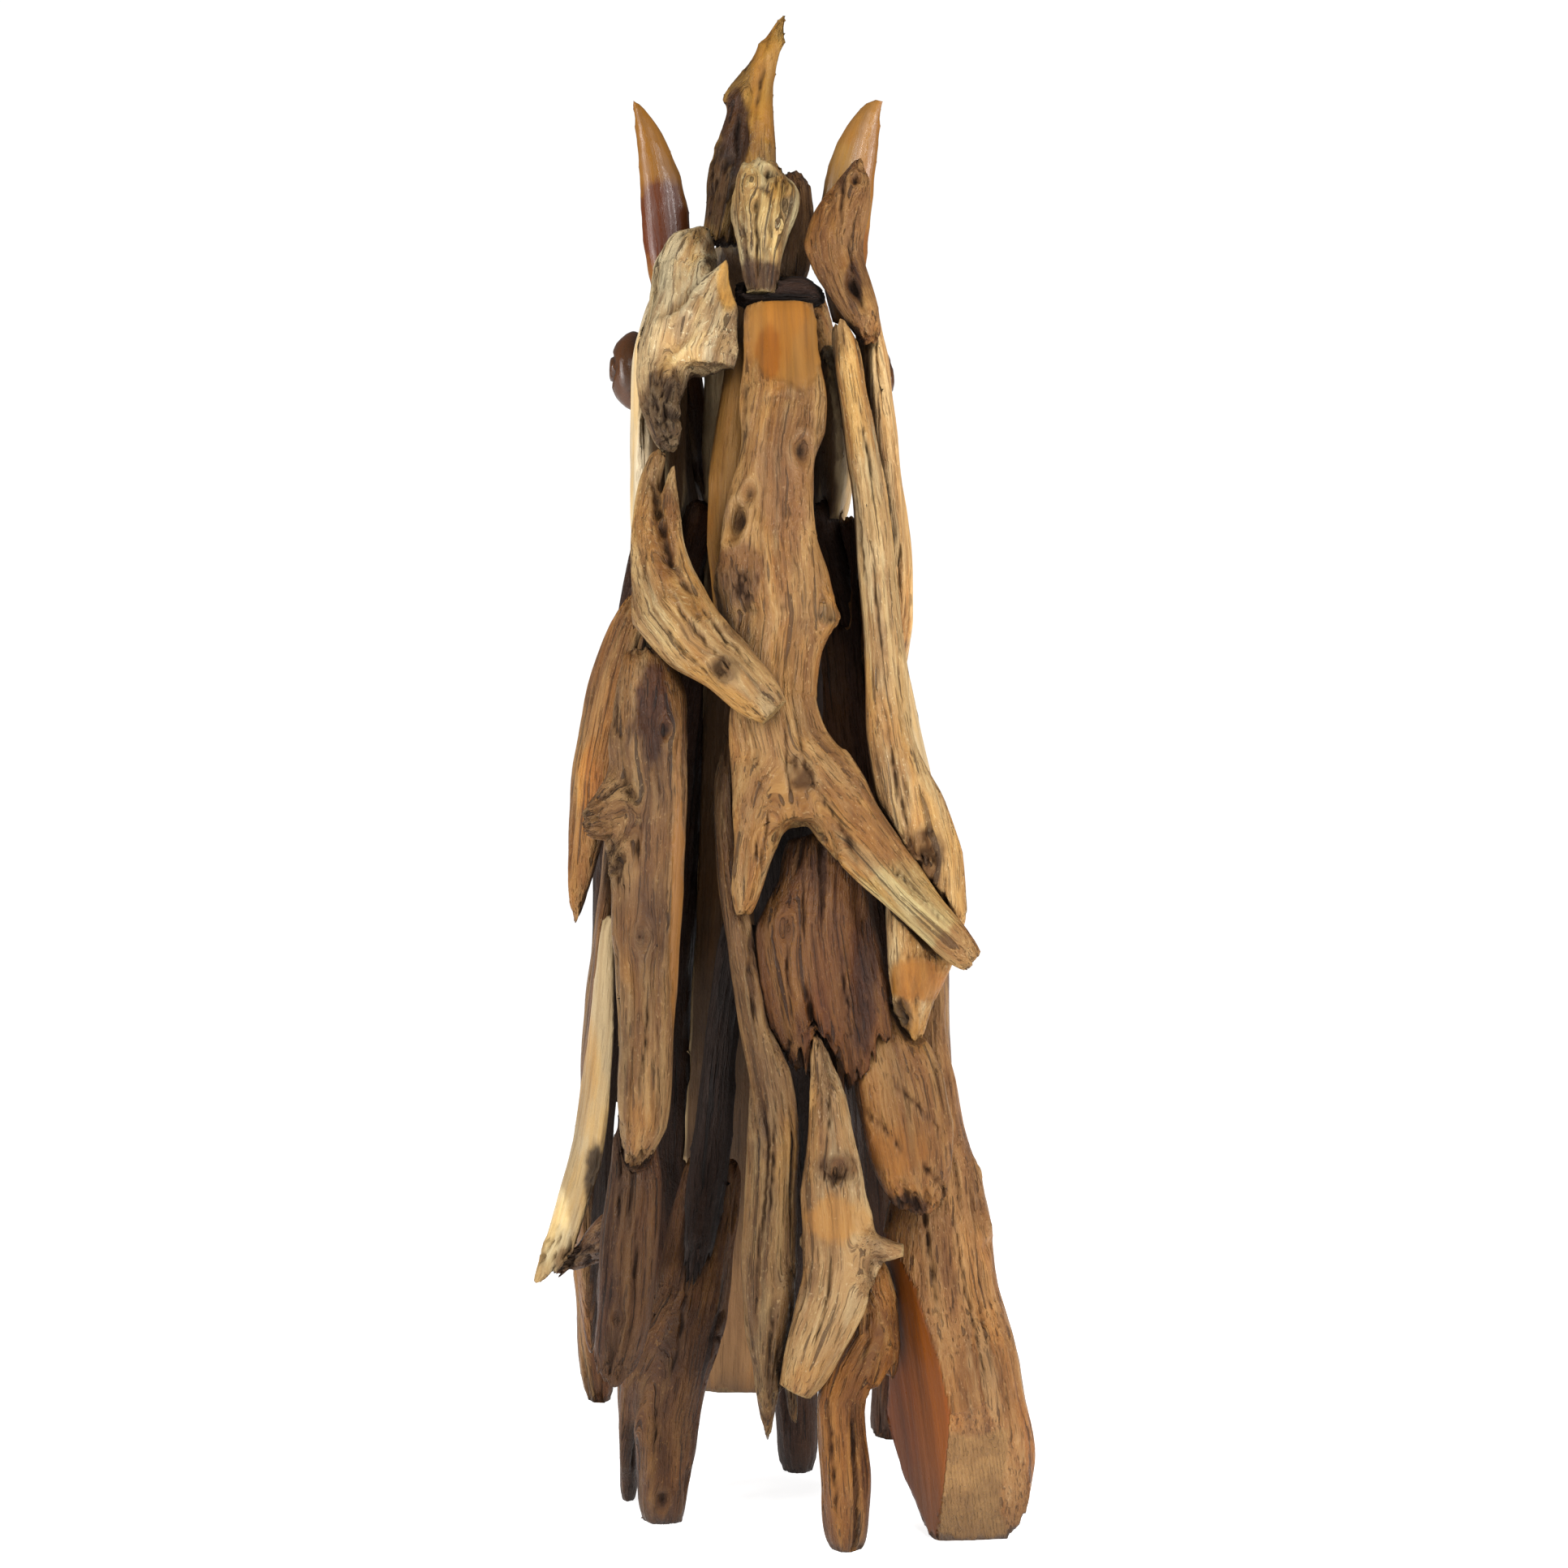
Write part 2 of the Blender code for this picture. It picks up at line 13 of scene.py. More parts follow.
import bmesh
import bpy
import numpy as np
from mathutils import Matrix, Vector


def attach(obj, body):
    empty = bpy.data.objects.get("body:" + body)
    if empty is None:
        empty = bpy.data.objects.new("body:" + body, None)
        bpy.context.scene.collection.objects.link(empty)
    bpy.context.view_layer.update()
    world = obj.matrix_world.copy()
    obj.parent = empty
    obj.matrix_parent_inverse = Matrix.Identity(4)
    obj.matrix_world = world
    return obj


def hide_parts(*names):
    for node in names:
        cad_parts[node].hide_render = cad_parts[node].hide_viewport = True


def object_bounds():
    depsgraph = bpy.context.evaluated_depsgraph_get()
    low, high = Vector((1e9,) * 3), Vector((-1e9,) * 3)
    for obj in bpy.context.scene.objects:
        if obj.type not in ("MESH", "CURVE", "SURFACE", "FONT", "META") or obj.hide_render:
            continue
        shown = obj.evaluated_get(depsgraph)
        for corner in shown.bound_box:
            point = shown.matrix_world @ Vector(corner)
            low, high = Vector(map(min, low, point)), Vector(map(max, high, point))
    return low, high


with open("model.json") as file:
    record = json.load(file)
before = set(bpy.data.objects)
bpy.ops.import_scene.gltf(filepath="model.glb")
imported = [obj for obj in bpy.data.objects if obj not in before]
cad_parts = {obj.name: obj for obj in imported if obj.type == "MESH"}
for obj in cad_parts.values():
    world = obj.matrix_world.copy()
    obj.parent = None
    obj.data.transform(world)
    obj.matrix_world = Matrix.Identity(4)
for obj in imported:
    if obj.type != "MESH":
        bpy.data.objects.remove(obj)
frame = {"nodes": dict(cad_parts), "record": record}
cad_box = [list(corner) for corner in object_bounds()]

MM = 0.001
MIDDLE = np.array([-6.0, 122.0, 0.0])  # the middle of the footprint, in part.py's millimetres

# The photograph's camera, in the same millimetres, and the sculpture's nearest face below it
CAMERA = np.array([0.0, -3043.0, 951.0])
NEAR_PLANE = -360.0

CELL = 0.0022  # spacing of the skin across the grain, in metres
PLAIN_CELL = 0.0038  # the same on pieces that the photograph hardly shows
STRETCH = 3.3  # the spacing along the grain, as a multiple of that
SMOOTHING_ROUNDS = 70

TOP = "top"
BOTTOM = "bottom"

# Grain lines of forked and bent pieces, from the top down. The first is the stem, and the others
# leave it. A piece that isn't here has its line worked out from its own shape.
GRAIN_LINES = {
    "curved_mane_branch": [
        [(-158, -198, 1390), (-178, -228, 1290), (-170, -245, 1238), (-150, -268, 1182),
         (-110, -290, 1132), (-72, -306, 1102), (-12, -321, 1040)],
        [(-142, -232, 1364), (-145, -242, 1270), (-135, -252, 1225), (-100, -282, 1150)],
    ],
    "root_foot": [
        [(40, -322, 645), (61, -338, 505), (70, -343, 362), (62, -345, 318), (16, -351, 199)],
        [(92, -340, 378), (148, -348, 375)],
    ],
    "centre_mane_root": [
        [(-6, -110, 1592), (0, -162, 1468), (-11, -187, 1380), (-17, -216, 1268),
         (-6, -242, 1165), (-16, -264, 1060), (10, -284, 950), (30, -292, 860)],
        [(-16, -278, 960), (-36, -297, 878), (-52, -318, 784)],
        [(20, -280, 980), (78, -296, 906), (150, -322, 821), (240, -345, 737)],
    ],
    "upper_left_root": [
        [(-106, -34, 1718), (-136, -68, 1648), (-141, -95, 1598), (-151, -118, 1548),
         (-162, -142, 1498), (-162, -164, 1446), (-148, -186, 1387)],
        [(-77, -98, 1661), (-100, -110, 1598), (-122, -142, 1524), (-122, -152, 1490)],
    ],
    "left_mane_trunk": [
        [(-176, -250, 1126), (-173, -276, 1000), (-168, -288, 935), (-173, -304, 825),
         (-172, -318, 675), (-174, -327, 530), (-189, -331, 472)],
        [(-180, -282, 930), (-228, -301, 906), (-252, -314, 897)],
    ],
    "centre_leg": [
        [(105, -296, 352), (106, -308, 262), (84, -314, 222), (71, -319, 180), (80, -330, -8)],
        [(118, -304, 300), (137, -307, 244), (137, -308, 203)],
    ],
    "centre_left_plank": [
        [(-72, -232, 1018), (-73, -264, 890), (-38, -308, 645), (-12, -322, 505),
         (-18, -330, 340), (-21, -335, 130)],
        [(0, -326, 330), (10, -324, 230), (12, -322, 150)],
    ],
    "left_leg": [
        [(-92, -182, 462), (-118, -200, 305), (-150, -216, 140), (-158, -223, -8)],
        [(-150, -208, 265), (-194, -192, 165), (-208, -150, 40), (-208, -145, -8)],
    ],
    "crest_root": [
        [(2, 0, 2030), (-23, -6, 1950), (-28, -9, 1904), (-30, -15, 1812), (-36, -16, 1762)],
        [(-86, 2, 1907), (-50, -2, 1940), (-24, -5, 1966)],
        [(-52, 2, 1908), (-61, 4, 1860), (-75, 6, 1785), (-92, 0, 1700)],
    ],
}

# Ends that were sawn off, and stay flat
CUT_ENDS = {
    "poll_stub": [BOTTOM],
    "centre_mane_root": [TOP],
    "curved_mane_branch": [BOTTOM],
    "root_foot": [BOTTOM],
}
# Flat sawn faces: a point and the way it looks
SAWN_FACES = {
    "right_leg": [((226, -345, 140), (0.1, -0.95, -0.25))],
}
# The end grain on that face reaches this high, in mm, and this far to the right
END_GRAIN_TOP = 152
END_GRAIN_RIGHT = 272
# Planed faces, the same way
PLANED_FACES = {
    "right_leg": [((197, -350, 190), (-0.8, -0.6, -0.1))],
}

# How deeply the ends of a piece are broken up along the grain, in mm
BROKEN = {
    "crest_root": (0, 14),
    "nose_bridge": (0, 0),
    "chin": (0, 0),
    "centre_lower_slab": (0, 46),
    "centre_left_plank": (16, 30),
    "left_mane_trunk": (10, 22),
    "left_lower_plank": (14, 14),
    "left_inner_plank": (10, 40),
    "left_flare_root": (10, 16),
    "right_cross_wedge": (10, 16),
    "left_leg": (10, 0),
    "root_foot": (40, 0),
    "left_neck_plank": (10, 18),
    "front_left_plank": (16, 0),
    "front_right_plank": (16, 0),
    "left_side_plank": (18, 16),
    "right_side_plank": (18, 18),
    "left_shoulder_plank": (10, 14),
    "right_shoulder_plank": (10, 14),
    "left_throat_root": (10, 16),
    "right_throat_root": (10, 0),
}
USUAL_BREAK = (8, 8)
UNBROKEN_WOODS = {"polished_teak", "eye_teak"}

# How each wood is worn: furrows and gnarls as shares of the usual, and how far it is polished
WEAR = {
    "weathered_teak": (1.0, 1.0, 0.0),
    "golden_teak": (0.75, 0.9, 0.12),
    "pale_teak": (0.28, 0.6, 0.55),
    "dark_teak": (0.8, 1.0, 0.0),
    "polished_teak": (0.05, 0.35, 1.0),
    "eye_teak": (0.05, 0.2, 1.0),
}

# How each wood differs from its usual colour, and each piece that the photograph shows
USUAL_TONES = {
    "weathered_teak": (0.58, 0.49, 0.36), "golden_teak": (0.72, 0.62, 0.45),
    "pale_teak": (0.95, 0.95, 0.92), "dark_teak": (0.76, 0.66, 0.52),
    "polished_teak": (0.62, 0.56, 0.36), "eye_teak": (0.58, 0.46, 0.28),
}
TONES = {
    "centre_mane_root": (0.72, 0.66, 0.52),
    "curved_mane_branch": (0.84, 0.87, 0.78),
    "left_mane_trunk": (0.54, 0.48, 0.36),
    "left_lower_plank": (0.20, 0.14, 0.08),
    "centre_lower_slab": (0.34, 0.22, 0.10),
    "centre_left_plank": (0.53, 0.50, 0.39),
    "right_cross_wedge": (0.55, 0.44, 0.29),
    "root_foot": (0.80, 0.83, 0.81),
    "right_leg": (0.71, 0.60, 0.47),
    "centre_leg": (0.57, 0.43, 0.23),
    "left_leg": (0.34, 0.24, 0.12),
    "left_flare_plank": (0.64, 0.64, 0.60),
    "left_flare_root": (0.42, 0.33, 0.24),
    "left_ear": (0.55, 0.47, 0.18),
    "right_ear": (0.62, 0.59, 0.41),
    "upper_left_root": (1.18, 1.44, 1.60),
    "poll_stub": (1.06, 1.28, 1.28),
    "poll_block": (0.46, 0.38, 0.28),
    "crest_root": (0.62, 0.59, 0.32),
    "left_neck_upper": (1.06, 1.18, 1.36),
    "right_neck_side": (1.32, 1.34, 1.22),
    "right_mane_plank": (1.04, 1.13, 1.12),
    "upper_right_root": (0.64, 0.53, 0.36),
    "centre_backing_plank": (0.62, 0.41, 0.17),
}

# Painted shade: what is left of a colour on the inner sides, and on those near the floor, where the painted
# shade is lighter
INSIDE_SHADE_TONE = (0.15, 0.105, 0.075)
LOW_INSIDE_SHADE_TONE = (0.50, 0.36, 0.26)
INSIDE_SHADE_HEIGHTS = (90, 380)
PLANED_FACE_TONE = (0.74, 0.47, 0.16)

# Pieces that are more gnarled than the others
GNARLED = {
    "poll_stub": 3.0, "crest_root": 1.7, "upper_left_root": 1.7, "upper_right_root": 1.8,
    "root_foot": 1.6, "left_leg": 1.3, "centre_leg": 1.5, "right_leg": 1.3, "poll_block": 2.0,
    "left_mane_trunk": 1.3, "curved_mane_branch": 1.2, "centre_mane_root": 1.25,
}

HIDDEN = {
    "heart_post", "left_throat_root", "right_throat_root", "left_chest_root", "right_chest_root",
    "poll_shelf", "left_inner_plank",
}
# Pieces that the photograph hardly shows, with a coarser skin
PLAIN = HIDDEN | {
    "front_centre_plank", "front_left_plank", "front_right_plank", "left_side_plank",
    "right_side_plank", "left_shoulder_plank", "right_shoulder_plank", "nose_bridge",
    "left_cheek", "right_cheek", "left_face_plank", "right_face_plank", "left_front_leg",
    "right_front_leg", "left_jaw_bar", "right_jaw_bar",
}

# Planks whose outline the photograph doesn't show, and whose edges are worn here
WORN_EDGES = {
    "left_side_plank", "right_side_plank", "left_shoulder_plank", "right_shoulder_plank",
    "left_neck_upper", "right_neck_side", "left_neck_plank", "right_flank_plank",
    "left_front_leg", "right_front_leg", "front_left_plank", "front_right_plank",
    "front_centre_plank", "left_throat_root", "right_throat_root", "left_jaw_bar", "right_jaw_bar",
    "left_face_plank", "right_face_plank",
}

# The middle of the sculpture, from the floor up the neck and down the face. Wood that looks
# towards it is darkened with painted shade.
SPINE = [(-10, 30, 0), (-10, 10, 500), (-20, -40, 1000), (-35, -30, 1400), (-46, 60, 1560),
         (-46, 520, 1180)]

# What the photograph shows of each piece. Places are its pixels from the middle and the foot, which
# are millimetres on a plane at the sculpture's nearest face.
# Knots and holes: place, radius, depth (below 0 it stands up)
KNOTS = {
    "centre_mane_root": [(22, 1362, 15, 11), (-58, 1278, 16, 20), (50, 1165, 10, -5),
                         (66, 1150, 9, -4), (30, 890, 15, 5), (-46, 1310, 11, 8)],
    "upper_right_root": [(88, 1696, 8, 9), (84, 1566, 11, 12)],
    "left_mane_trunk": [(-145, 1016, 11, 6), (-175, 760, 13, 3), (-192, 940, 10, 6)],
    "right_mane_plank": [(86, 1349, 6, -2), (122, 1333, 6, 3), (144, 662, 12, 11),
                         (178, 858, 13, 5)],
    "root_foot": [(67, 474, 13, 6), (88, 466, 9, 4)],
    "poll_stub": [(-40, 1692, 10, -8), (6, 1668, 10, 9), (-53, 1652, 9, -6), (-20, 1702, 9, 7),
                  (-8, 1640, 10, -6), (-36, 1664, 8, 6)],
    "left_neck_upper": [(-180, 1329, 7, 2)],
    "curved_mane_branch": [(-75, 1090, 13, 6), (-12, 1036, 7, 2)],
    "right_leg": [(246, 473, 12, -6), (251, 406, 12, -7)],
    "left_leg": [(-149, 71, 9, 7)],
    "left_lower_plank": [(-206, 288, 9, 4)],
    "centre_lower_slab": [(2, 770, 13, 3)],
}

CRACK = "crack"
GROOVE = "groove"
STEP = "step"
# Strokes: what it is, half its width, its depth (below 0 it stands up), and its way. A crack gets
# painted shade, a groove doesn't, and a step lies lower on the left of its way, with painted shade there
# along its edge.
STROKES = {
    "upper_left_root": [
        (STEP, 3, 12, [(-159, 1522), (-143, 1528), (-119, 1545), (-112, 1564), (-95, 1584)]),
        (GROOVE, 5, -8, [(-73, 1600), (-66, 1565), (-60, 1520)]),
        (GROOVE, 14, 12, [(-109, 1528), (-143, 1484), (-156, 1461)]),
        (GROOVE, 10, 8, [(-96, 1640), (-120, 1600), (-140, 1575)]),
        (GROOVE, 7, -7, [(-100, 1500), (-125, 1478), (-140, 1470)]),
        (CRACK, 2.5, 8, [(-150, 1650), (-160, 1590), (-168, 1530)]),
        (CRACK, 3, 8, [(-150, 1450), (-148, 1415), (-140, 1380)]),
    ],
    "centre_mane_root": [
        (STEP, 2, 2.5, [(39, 1442), (0, 1430), (-38, 1418)]),
        (CRACK, 2.5, 6, [(-50, 1452), (-48, 1400), (-51, 1356)]),
        (CRACK, 2.5, 8, [(-64, 1215), (-48, 1204), (-32, 1183)]),
        (CRACK, 2, 7, [(-14, 1180), (3, 1168)]),
        (STEP, 3, 8, [(-26, 1165), (-49, 1171), (-67, 1153)]),
        (GROOVE, 4, 5, [(-14, 1139), (-8, 1095)]),
        (CRACK, 2, 8, [(-19, 921), (-25, 851), (-26, 824)]),
        (CRACK, 2, 7, [(-30, 893), (-36, 851)]),
        (CRACK, 4, 6, [(63, 907), (75, 890), (86, 851)]),
        (GROOVE, 9, 5, [(-34, 1330), (-26, 1290), (-8, 1250)]),
        (CRACK, 1.8, 6, [(12, 1050), (22, 990), (48, 930), (90, 870)]),
        (CRACK, 1.8, 5, [(0, 1030), (4, 960), (14, 900)]),
        (CRACK, 2, 6, [(120, 862), (160, 822), (200, 780)]),
        (GROOVE, 8, -4, [(20, 1330), (26, 1270), (30, 1215)]),
    ],
    "curved_mane_branch": [
        (CRACK, 5, 13, [(-165, 1330), (-152, 1270), (-138, 1218), (-106, 1180)]),
        (CRACK, 2.2, 7, [(-150, 1200), (-112, 1142), (-62, 1088)]),
        (CRACK, 2, 6, [(-172, 1180), (-132, 1122), (-84, 1076)]),
        (CRACK, 2, 6, [(-118, 1190), (-80, 1140), (-30, 1084)]),
        (CRACK, 1.8, 5, [(-160, 1290), (-168, 1240), (-176, 1200)]),
        (GROOVE, 6, -4, [(-140, 1190), (-100, 1135), (-50, 1080)]),
    ],
    "left_mane_trunk": [
        (GROOVE, 5, -5, [(-183, 1100), (-191, 1076), (-191, 1049), (-180, 1018), (-179, 990)]),
        (GROOVE, 13, 8, [(-166, 1090), (-171, 1050), (-160, 1010), (-160, 960)]),
        (CRACK, 6, 9, [(-202, 957), (-190, 942), (-180, 926)]),
        (CRACK, 2.5, 9, [(-179, 907), (-180, 880), (-178, 849)]),
        (CRACK, 2.5, 9, [(-206, 751), (-205, 690), (-201, 612)]),
        (STEP, 2, 2.5, [(-150, 680), (-142, 840), (-133, 1000)]),
        (CRACK, 2, 6, [(-168, 690), (-172, 620), (-180, 560)]),
        (GROOVE, 6, -4, [(-166, 579), (-181, 540), (-196, 500)]),
        (CRACK, 2, 6, [(-206, 1080), (-208, 1030), (-200, 985)]),
    ],
    "left_lower_plank": [
        (CRACK, 2.5, 8, [(-204, 507), (-205, 450), (-206, 396)]),
        (CRACK, 2, 6, [(-182, 420), (-184, 350), (-190, 300)]),
        (STEP, 2, 3, [(-172, 300), (-168, 380), (-166, 450)]),
    ],
    "left_flare_plank": [
        (CRACK, 9, 9, [(-232, 512), (-233, 455), (-228, 400)]),
        (GROOVE, 4, -2, [(-258, 520), (-268, 460), (-288, 400)]),
    ],
    "centre_lower_slab": [
        (CRACK, 5, 18, [(25, 704), (27, 688), (36, 654), (44, 621), (48, 601)]),
        (CRACK, 3, 10, [(-43, 774), (-42, 710), (-36, 671), (-25, 646)]),
        (CRACK, 2.5, 8, [(10, 640), (-4, 600), (-24, 530)]),
        (GROOVE, 10, 6, [(88, 825), (98, 720), (104, 640)]),
        (CRACK, 2, 7, [(70, 745), (78, 680), (84, 620)]),
        (CRACK, 2, 6, [(2, 760), (6, 700), (12, 650)]),
    ],
    "right_cross_wedge": [
        (CRACK, 2.5, 8, [(95, 554), (128, 520), (153, 492)]),
        (CRACK, 2.5, 9, [(168, 487), (186, 465), (203, 442)]),
        (GROOVE, 5, -4, [(211, 506), (215, 481), (208, 456), (201, 441)]),
        (CRACK, 2, 5, [(120, 600), (160, 560), (196, 520)]),
    ],
    "root_foot": [
        (CRACK, 2.5, 8, [(17, 370), (26, 331), (24, 304)]),
        (STEP, 3, 5, [(98, 460), (70, 468), (44, 480)]),
        (CRACK, 2, 6, [(60, 590), (54, 540), (50, 500)]),
        (CRACK, 2, 5, [(60, 380), (54, 320), (36, 250)]),
        (GROOVE, 9, -4, [(84, 420), (96, 396), (130, 372)]),
    ],
    "left_leg": [
        (CRACK, 2, 7, [(-185, 138), (-187, 120), (-188, 101)]),
        (CRACK, 2, 7, [(-159, 182), (-160, 160), (-159, 138)]),
        (CRACK, 2, 6, [(-120, 330), (-128, 270), (-140, 215)]),
    ],
    "right_leg": [
        (CRACK, 8, 18, [(272, 150), (279, 113), (270, 88), (256, 70)]),
        (CRACK, 3, 8, [(170, 535), (167, 460), (178, 372), (194, 280)]),
        (CRACK, 2, 6, [(210, 420), (222, 340), (240, 270), (252, 200)]),
        (CRACK, 2, 6, [(240, 360), (244, 300), (262, 230)]),
        (GROOVE, 8, 6, [(247, 388), (252, 384), (262, 386)]),
    ],
    "right_mane_plank": [
        (CRACK, 2.5, 7, [(80, 1336), (90, 1270), (100, 1198)]),
        (CRACK, 2, 6, [(92, 1430), (100, 1380), (112, 1300)]),
        (CRACK, 1.8, 5, [(104, 1290), (112, 1190), (124, 1060)]),
        (CRACK, 2.5, 7, [(124, 1040), (136, 960), (158, 880)]),
        (CRACK, 3, 9, [(150, 893), (160, 870), (172, 849)]),
        (CRACK, 2.5, 7, [(200, 840), (196, 790), (186, 750)]),
        (STEP, 3, 4, [(125, 742), (165, 738), (205, 742)]),
    ],
    "centre_left_plank": [
        (CRACK, 3, 9, [(-42, 770), (-41, 710), (-37, 655)]),
        (CRACK, 2, 6, [(-10, 560), (-14, 480), (-20, 400)]),
        (CRACK, 2, 6, [(-30, 420), (-34, 350), (-34, 290)]),
        (CRACK, 2, 6, [(-14, 330), (-16, 260), (-20, 200)]),
    ],
    "centre_leg": [
        (CRACK, 2.5, 7, [(56, 190), (60, 120), (66, 50)]),
        (CRACK, 2, 6, [(82, 200), (86, 140), (88, 80)]),
        (CRACK, 2, 6, [(100, 300), (104, 270), (96, 236)]),
    ],
    "upper_right_root": [
        (CRACK, 2.5, 7, [(60, 1735), (72, 1690), (70, 1640)]),
        (CRACK, 2, 6, [(92, 1660), (82, 1620), (94, 1560)]),
        (GROOVE, 8, -4, [(40, 1690), (52, 1650), (62, 1610)]),
        (CRACK, 8, 12, [(84, 1592), (92, 1562), (102, 1534)]),
        (GROOVE, 6, 6, [(60, 1716), (56, 1676), (66, 1630)]),
    ],
    "poll_stub": [
        (CRACK, 2.5, 7, [(-30, 1690), (-34, 1640), (-34, 1580)]),
        (CRACK, 2, 6, [(-14, 1660), (-18, 1620), (-20, 1575)]),
        (CRACK, 2, 6, [(-50, 1670), (-52, 1630), (-46, 1590)]),
    ],
    "crest_root": [
        (CRACK, 2, 5, [(-20, 1860), (-30, 1815), (-34, 1770)]),
        (GROOVE, 4, 5, [(-8, 1988), (-18, 1930), (-20, 1870), (-38, 1815)]),
        (CRACK, 1.8, 5, [(-26, 1944), (-34, 1885), (-50, 1820)]),
        (GROOVE, 5, -5, [(-14, 1900), (-16, 1850), (-26, 1800)]),
        (CRACK, 3, 7, [(-54, 1795), (-58, 1755), (-58, 1715)]),
        (STEP, 3, 6, [(-41, 1700), (-42, 1750), (-48, 1797)]),
    ],
}

# Rotten or torn patches, full of pits: place, half width, half height
ROTTEN = {
    "centre_mane_root": [(-60, 1198, 32, 24), (22, 965, 20, 26), (32, 890, 20, 26),
                         (70, 1152, 14, 16)],
    "upper_left_root": [(-142, 1412, 34, 52)],
    "right_mane_plank": [(172, 862, 26, 50), (144, 664, 14, 22)],
    "left_flare_root": [(-258, 358, 40, 30)],
    "left_flare_plank": [(-270, 372, 34, 34)],
    "root_foot": [(66, 478, 26, 24), (-6, 320, 20, 70)],
    "right_cross_wedge": [(140, 428, 44, 16)],
    "crest_root": [(-82, 1690, 26, 60)],
    "left_leg": [(-70, 250, 24, 60)],
    "curved_mane_branch": [(-70, 1092, 22, 18)],
    "left_mane_trunk": [(-215, 850, 26, 40)],
    "poll_stub": [(-10, 1690, 22, 18)],
}

# Stained patches: place, half width, half height, and the tone
STAINS = {
    "left_ear": [(-150, 1640, 50, 56, (0.42, 0.22, 0.14))],
    "right_ear": [(60, 1690, 34, 60, (1.15, 1.30, 1.50)), (100, 1600, 30, 40, (0.70, 0.55, 0.45))],
    "crest_root": [(-62, 1755, 22, 62, (0.17, 0.12, 0.11)), (-88, 1690, 26, 60, (0.34, 0.26, 0.21)),
                   (-56, 1830, 22, 34, (0.72, 0.74, 0.78))],
    "poll_stub": [(-30, 1578, 34, 24, (0.24, 0.17, 0.13)), (-4, 1686, 20, 16, (1.15, 0.98, 0.62))],
    "upper_left_root": [(-146, 1412, 40, 62, (0.34, 0.27, 0.22)), (-92, 1626, 16, 24, (0.62, 0.60, 0.62)),
                        (-70, 1565, 13, 40, (1.08, 0.98, 0.72)),
                        (-120, 1500, 44, 34, (1.25, 1.30, 1.35))],
    "upper_right_root": [(84, 1566, 12, 36, (0.40, 0.33, 0.28)), (110, 1530, 18, 40, (1.45, 1.55, 1.60))],
    "centre_mane_root": [(6, 1330, 44, 88, (0.78, 0.74, 0.80)), (-54, 1212, 34, 42, (0.58, 0.50, 0.46)),
                         (6, 1100, 26, 60, (0.98, 0.90, 0.74)), (150, 800, 70, 60, (1.36, 1.76, 2.10)),
                         (52, 1160, 14, 14, (0.62, 0.66, 0.74)), (-20, 1480, 18, 40, (0.80, 0.66, 0.50))],
    "curved_mane_branch": [(-146, 1270, 18, 70, (0.62, 0.52, 0.42)), (-74, 1092, 22, 20, (0.66, 0.60, 0.55)),
                           (-150, 1150, 26, 40, (1.20, 1.28, 1.35))],
    "left_mane_trunk": [(-160, 1040, 26, 66, (0.29, 0.19, 0.12)), (-196, 1040, 14, 60, (0.95, 1.0, 1.1)),
                        (-176, 780, 34, 60, (0.74, 0.70, 0.74)), (-170, 880, 30, 40, (0.80, 0.72, 0.66))],
    "left_neck_plank": [(-240, 940, 18, 60, (0.95, 0.80, 0.58)), (-252, 1000, 10, 90, (1.5, 1.7, 1.9))],
    "centre_lower_slab": [(98, 710, 18, 100, (0.50, 0.42, 0.38)), (36, 650, 22, 60, (0.70, 0.60, 0.52))],
    "right_mane_plank": [(172, 858, 28, 46, (0.48, 0.40, 0.34)), (165, 712, 44, 34, (0.74, 0.58, 0.38)),
                         (146, 662, 16, 26, (0.40, 0.36, 0.34))],
    "right_cross_wedge": [(140, 428, 46, 18, (0.34, 0.28, 0.24))],
    "centre_left_plank": [(-20, 560, 26, 70, (0.80, 0.78, 0.82)), (-36, 720, 12, 60, (0.70, 0.60, 0.50))],
    "left_leg": [(-110, 260, 40, 60, (0.60, 0.56, 0.54))],
    "left_flare_plank": [(-232, 458, 14, 62, (0.16, 0.14, 0.13)), (-262, 358, 26, 24, (0.42, 0.33, 0.26)),
                         (-246, 600, 16, 80, (0.98, 0.88, 0.74)),
                         (-280, 400, 18, 60, (1.72, 1.92, 2.15))],
    "root_foot": [(66, 415, 46, 32, (1.10, 0.98, 0.78)), (66, 480, 30, 16, (0.60, 0.50, 0.42))],
}

# Planed or sawn patches: place, half width, half height, how far it is planed
PLANED = {
    "centre_mane_root": [(4, 1500, 60, 66, 0.95)],
    "left_mane_trunk": [(-131, 760, 9, 240, 0.7)],
    "right_mane_plank": [(165, 708, 42, 34, 0.75), (150, 655, 26, 34, 0.6)],
    "root_foot": [(66, 415, 44, 30, 0.6)],
    "right_cross_wedge": [(140, 500, 50, 34, 0.55)],
    "upper_left_root": [(-70, 1565, 12, 36, 0.7)],
    "crest_root": [(-22, 1830, 22, 90, 0.6)],
}

